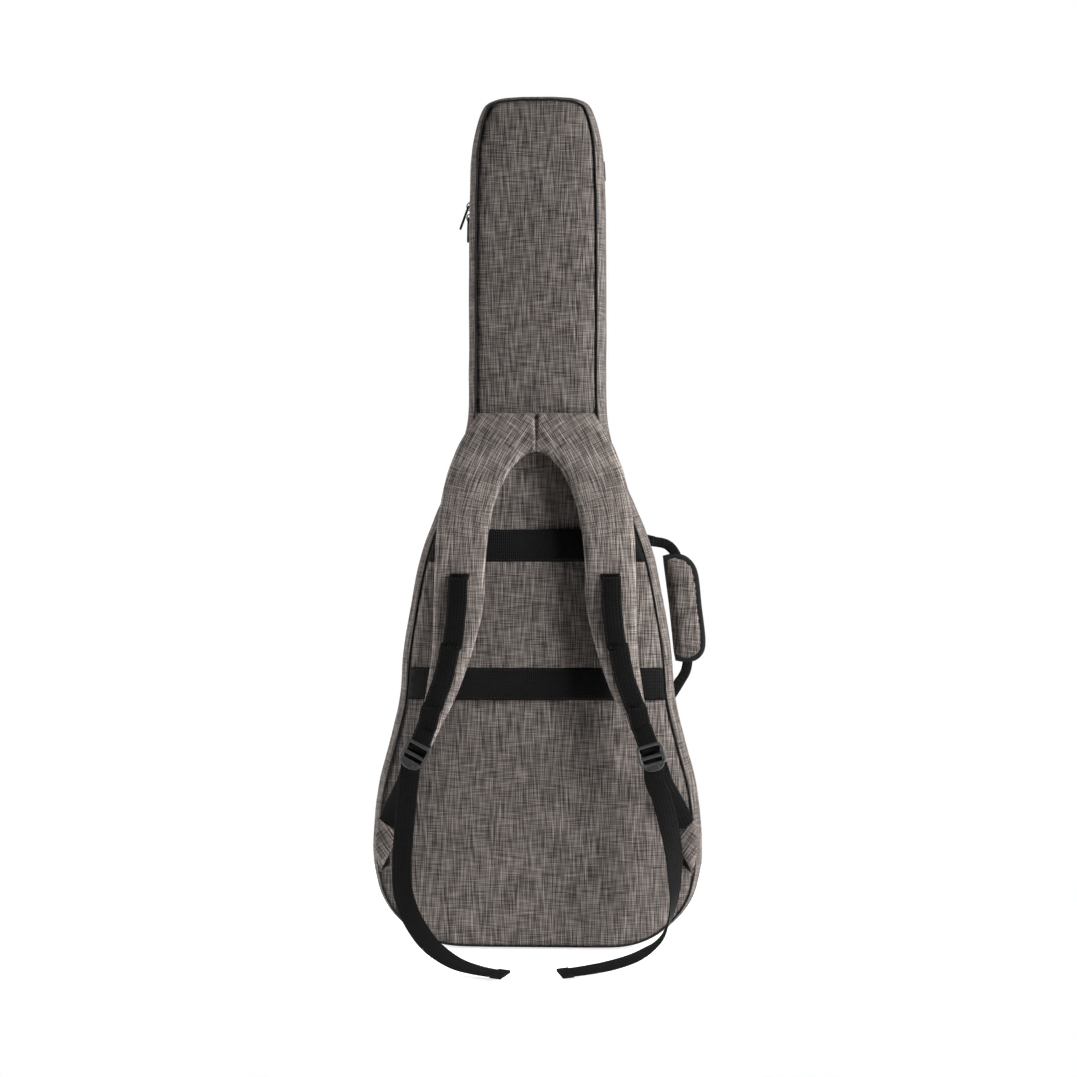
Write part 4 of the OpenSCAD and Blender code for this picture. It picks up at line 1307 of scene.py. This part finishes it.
def pull_blade(length, width):
    """Flat blade of a pull with a round end and a hole, in its own frame."""
    end, hole_at = Vector((0, -length + width / 2)), Vector((0, -length + HOLE_UP))
    rim = [end + Vector((math.cos(a), math.sin(a))) * width / 2 for a in np.linspace(math.pi, math.tau, 12)]
    rim += [Vector((width / 2, -0.0075)), Vector((-width / 2, -0.0075))]
    hole = [hole_at + Vector((math.cos(a), math.sin(a))) * HOLE_R for a in np.linspace(0, math.tau, 12)[:-1]]
    edges = []
    for loop in (list(range(len(rim))), list(range(len(rim), len(rim + hole)))):
        edges += zip(loop, loop[1:] + loop[:1])
    points, _, faces = geometry.delaunay_2d_cdt(rim + hole, edges, [], 0, 1e-7)[:3]
    bm = bmesh.new()
    verts = [bm.verts.new((0.0012, *point)) for point in points]
    for f in faces:
        middle = sum((points[i] for i in f), Vector((0, 0))) / len(f)
        if (middle - hole_at).length > HOLE_R * 0.9:
            bm.faces.new([verts[i] for i in f])
    bmesh.ops.delete(bm, geom=[v for v in bm.verts if not v.link_faces], context="VERTS")
    blade = from_bmesh("blade", bm)
    turn_to(blade, 0, (1, 0, 0))
    thicken(blade, 0.0024)
    bevelled(blade, 0.0005)
    return blade


def make_pull(name, node, pivot, lean, length=0.032, width=0.007):
    """Pull hanging from its pivot, turned about Y by lean degrees; it has its own body."""
    pin = [(0, y, 0) for y in np.linspace(-width / 2, width / 2, 4)]
    legs = ((-width / 2, -width / 2 + 0.0014), (width / 2 - 0.0014, width / 2))
    parts = [swept("pin", pin, (0, 0, 1), circle_section(0.0010, 10))]
    for y0, y1 in legs:
        parts.append(soft_box("leg", (-0.0011, y0, -0.009), (0.0011, y1, 0.0012), 0.0005))
    parts.append(pull_blade(length, width))
    turn = Matrix.Translation(pivot) @ Matrix.Rotation(math.radians(lean), 4, "Y")
    place(local_piece(merged(name, parts), turn), METAL, node, "zip_metal", node)


def make_zip_ends():
    """Folded tabs of tape over the zip's two ends."""
    ends = []
    for i, rise, thick in ((HINGE_LOW_I - 1, 0.0012, 0.0026), (HINGE_HIGH_I + 1, 0.0003, 0.0014)):
        line = resampled(in_space(OUTLINE[i - 3:i + 4] + OUT[i] * rise, ZIP_Y - 0.0055), 0.003)
        ends.append(swept("end", line, (0, 1, 0), rounded_section(0.0095, thick, thick * 0.45)))
    place(merged("zip_ends", ends), TAPE, "root", "zip_tape", "zip_end_tabs")


make_zip("zip_back", "root", WALL_EDGE_Y, TAPE_HIGH[1], "zip_tape_back")
make_zip("zip_front", "lid", LID_EDGE_Y, LID_TAPE_LOW[1], "zip_tape_front")
upper_pivot = make_slider("slider_upper", "upper_slider")
lower_pivot = make_slider("slider_lower", "lower_slider")
make_pull("pull_upper", "upper_pull", upper_pivot, 20)
make_pull("pull_lower", "lower_pull", lower_pivot, 1)
make_zip_ends()

# ---------------------------------------------------------------- lining and pieces inside
FLOOR_LIFT = 0.0038                  # keeps the lining's floor off the rippled inner face of the panel
WALL_ROWS = (0, 0.04, 0.12, 0.22, 0.34, 0.5, 0.66, 0.8, 0.94)


def make_tub(name, floor_y, edge_y, panel_y, rise, body, node):
    """Lining of one half: a floor on the foam and a wall up to the zip tape, clear of the wall's foam."""
    toward = 1 if edge_y > floor_y else -1
    heights = [floor_y + (edge_y - floor_y) * t for t in WALL_ROWS]
    lips = [(INNER - 0.003, edge_y + toward * 0.0006), (INNER - 0.0065, edge_y + toward * 0.0010)]

    def depth_at(i, y):
        return max(INNER, PIPING_INSET[i] * bulge(y, panel_y, rise) + WALL_T + 0.0045)

    def height(points, d):
        puff = 0.0012 * smooth_noise(points, 0.07, 51)
        return floor_y + toward * (puff + 0.0006) * np.clip(d / 0.02, 0, 1)

    verts, cloth = [], []
    for i in range(COUNT):
        rows = [(depth_at(i, y), y) for y in heights] + lips
        for depth, y in rows:
            x, z = OUTLINE[i] - OUT[i] * depth
            verts.append((x, y, z))
            cloth.append((i * OUTLINE_STEP, y))
    wall = new_object("tub_wall", verts, grid_faces(COUNT, len(rows), wrap=True), cloth=cloth)
    line = inset(OUTLINE, [depth_at(i, floor_y) for i in range(COUNT)])
    obj = merged(name, [wall, patch("tub_floor", line, 0.010, height, 0)])
    face_out(obj, weld=0.00005)
    largest = max(obj.data.polygons, key=lambda f: f.area)
    turn_to(obj, largest.index, (0, toward, 0))
    set_smooth(obj)
    thicken(obj, 0.0010)
    place(obj, LINING, body, "lining", node)


NECK_R = 0.034                       # half width of the groove that the guitar's neck lies in
NECK_DEEP = 0.026


def make_neck_rest():
    low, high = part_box("neck_rest")
    groove = [(x, high[1] - NECK_DEEP * max(0.0, 1 - (x / NECK_R) ** 2) ** 0.5)
              for x in np.linspace(NECK_R, -NECK_R, 15)]
    rim = [(low[0], low[1]), (high[0], low[1]), (high[0], high[1]), *groove, (low[0], high[1])]
    bm = bmesh.new()
    bottom = [bm.verts.new((x, y, low[2])) for x, y in rim]
    bm.faces.new(bottom[::-1])
    top = bmesh.ops.extrude_face_region(bm, geom=list(bm.faces))
    for v in top["geom"]:
        if isinstance(v, bmesh.types.BMVert):
            v.co.z = high[2]
    bmesh.ops.recalc_face_normals(bm, faces=bm.faces)
    rest = from_bmesh("neck_rest_cover", bm)
    bevelled(rest, 0.004, segments=3, angle=50)
    set_cloth(rest.data, [(v.co.x + v.co.y, v.co.z) for v in rest.data.vertices])
    set_smooth(rest, False)
    place(rest, LINING, "root", "lining", "neck_rest")


def make_neck_strap(word):
    """One half of the hook-and-loop strap that holds the guitar's neck."""
    low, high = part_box(f"neck_strap_{word}")
    x = np.linspace(low[0], high[0], 24)
    bow = 0.0012 * np.sin((x - low[0]) / (high[0] - low[0]) * math.pi)
    line = np.column_stack([x, high[1] + bow, np.full(24, (low[2] + high[2]) / 2)])
    strap = swept(f"neck_strap_{word}", line, (0, 0, 1), rounded_section(high[2] - low[2], 0.0018, 0.0007))
    place(strap, WEBBING, "root", "webbing", f"neck_strap_{word}")


def make_inside():
    back_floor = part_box("back_lining")[0][1] + FLOOR_LIFT
    front_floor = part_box("front_lining")[1][1] - FLOOR_LIFT
    make_tub("lining_back", back_floor, WALL_EDGE_Y, BACK_FACE, BACK_RISE, "root", "back_lining")
    make_tub("lining_front", front_floor, LID_EDGE_Y, FRONT_FACE, LID_RISE, "lid", "front_lining")
    make_neck_rest()
    for _, word in SIDES:
        make_neck_strap(word)
    low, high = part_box("end_pad")
    place(soft_box("end_pad_cover", low, high, 0.004, 3), LINING, "root", "lining", "end_pad")


make_inside()

# ---------------------------------------------------------------- accessory pocket
POCKET_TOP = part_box("pocket_piping")[1][2]
POCKET_STOPS = [
    mm(0, 58), mm(85, 60), mm(140, 82), mm(172, 132), mm(170, 200), mm(156, 262), mm(146, 318), mm(142, 376),
    (0.136, POCKET_TOP - 0.034), (0.112, POCKET_TOP - 0.009), (0.070, POCKET_TOP - 0.001), (0, POCKET_TOP),
]
POCKET_STEP = 0.005
POCKET_LINE = both_halves(spline(POCKET_STOPS, 8), POCKET_STEP)
POCKET_OUT = normals(POCKET_LINE)
POCKET_COUNT = len(POCKET_LINE)
POCKET_TAPE_LOW, POCKET_TAPE_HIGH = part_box("pocket_zip_tape")
POCKET_ZIP_Y = (POCKET_TAPE_LOW[1] + POCKET_TAPE_HIGH[1]) / 2
POCKET_ZIP_HALF = 0.004
POCKET_ZIP_Z = POCKET_TAPE_LOW[2]    # the zip runs over the pocket's top, above this height


def pocket_numbers(low_z, high_z):
    """Numbers of the pocket's outline points between two heights, in one unbroken run."""
    numbers = [i for i in range(POCKET_COUNT) if low_z < POCKET_LINE[i, 1] <= high_z]
    if len(numbers) < POCKET_COUNT:
        gap = max(range(len(numbers)), key=lambda k: (numbers[k] - numbers[k - 1]) % POCKET_COUNT)
        numbers = numbers[gap:] + numbers[:gap]
    return numbers


def pocket_wall(name, y0, y1, heights, material, slot, *nodes):
    """Strip of the pocket's wall between two depths and two heights."""
    numbers = pocket_numbers(*heights)
    columns = 7
    verts, cloth = [], []
    for n, i in enumerate(numbers):
        for y in np.linspace(y0, y1, columns):
            depth = 0.0015 + 0.0025 * bulge(y, POCKET_Y, 0.012) + 0.002 * bulge(y, FRONT_Y, 0.01)
            x, z = POCKET_LINE[i] - POCKET_OUT[i] * depth
            verts.append((x, y, z))
            cloth.append((y, n * POCKET_STEP))
    faces = grid_faces(len(numbers), columns, wrap=len(numbers) == POCKET_COUNT)
    obj = new_object(name, verts, faces, cloth=cloth)
    k = len(obj.data.polygons) // 2
    x, z = POCKET_OUT[numbers[(k // (columns - 1)) % len(numbers)]]
    turn_to(obj, k, (x, 0, z))
    thicken(obj, 0.0015)
    place(obj, material, "lid", slot, *nodes)


def pocket_surface(points, d):
    ripple = 0.0012 * smooth_noise(points, 0.09, 61) + 0.0004 * smooth_noise(points, 0.03, 62)
    edge = 0.0036 * (1 - np.exp(-d / 0.010)) + 0.004 * np.clip(d / 0.10, 0, 1)
    return POCKET_Y - 0.0045 + edge + ripple * np.clip(d / 0.02, 0, 1)


def make_pocket():
    near, far = POCKET_ZIP_Y - POCKET_ZIP_HALF, POCKET_ZIP_Y + POCKET_ZIP_HALF
    anywhere, top, below = (-1, math.inf), (POCKET_ZIP_Z, math.inf), (-1, POCKET_ZIP_Z + 0.004)
    pocket_wall("pocket_wall_back", FRONT_FACE + 0.0050, near, anywhere, FABRIC, "melange_fabric",
                "pocket_gusset")
    pocket_wall("pocket_wall_front", far, POCKET_Y - 0.002, anywhere, FABRIC, "melange_fabric")
    pocket_wall("pocket_wall_side", near, far, below, FABRIC, "melange_fabric")
    pocket_wall("pocket_zip", near, far, top, TAPE, "zip_tape", "pocket_zip_tape")
    face = patch("pocket_face", inset(POCKET_LINE, 0.0045), 0.007, pocket_surface, 0.002, front=True)
    place(face, FABRIC, "lid", "melange_fabric", "pocket_panel")
    line = in_space(inset(POCKET_LINE, 0.0040), POCKET_Y - 0.0030)
    piping = swept("pocket_piping", line, (0, 1, 0), circle_section(0.0021), closed=True)
    place(piping, PIPING, "lid", "piping", "pocket_piping")


def make_pocket_zip():
    """Coil, slider and pull of the pocket."""
    numbers = [i for i in range(POCKET_COUNT) if POCKET_LINE[i, 1] > POCKET_ZIP_Z]
    path = resampled(POCKET_LINE[numbers] - POCKET_OUT[numbers] * 0.0012, 0.0022)
    rings = []
    for k, (x, z) in enumerate(path[1:-1]):
        centre = np.array((x, POCKET_ZIP_Y + (0.0005 if k % 2 else -0.0005), z))
        rings += tooth(centre, np.array((0.0008, 0, 0)), np.array((0, 0, 0.0009)), POCKET_TOOTH)
    coil = beads("pocket_zip_teeth", rings)
    face_out(coil)
    place(coil, TEETH, "lid", "zip_tape")
    low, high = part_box("pocket_slider")
    x, y, z = (low[0] + high[0]) / 2, POCKET_ZIP_Y, low[2]
    plate = soft_box("plate", (x - 0.006, y - 0.004, z), (x + 0.006, y + 0.004, z + 0.002), 0.0008)
    arch = bail((x, y, z + 0.0012), (0.0045, 0, 0), (0, 0, 0.0042))
    body = merged("pocket_slider_body", [plate, arch])
    place(body, METAL, "pocket_slider", "zip_metal", "pocket_slider")
    make_pull("pocket_pull_tab", "pocket_pull", (x, y, z + 0.004), -90, 0.030, 0.006)


make_pocket()
make_pocket_zip()
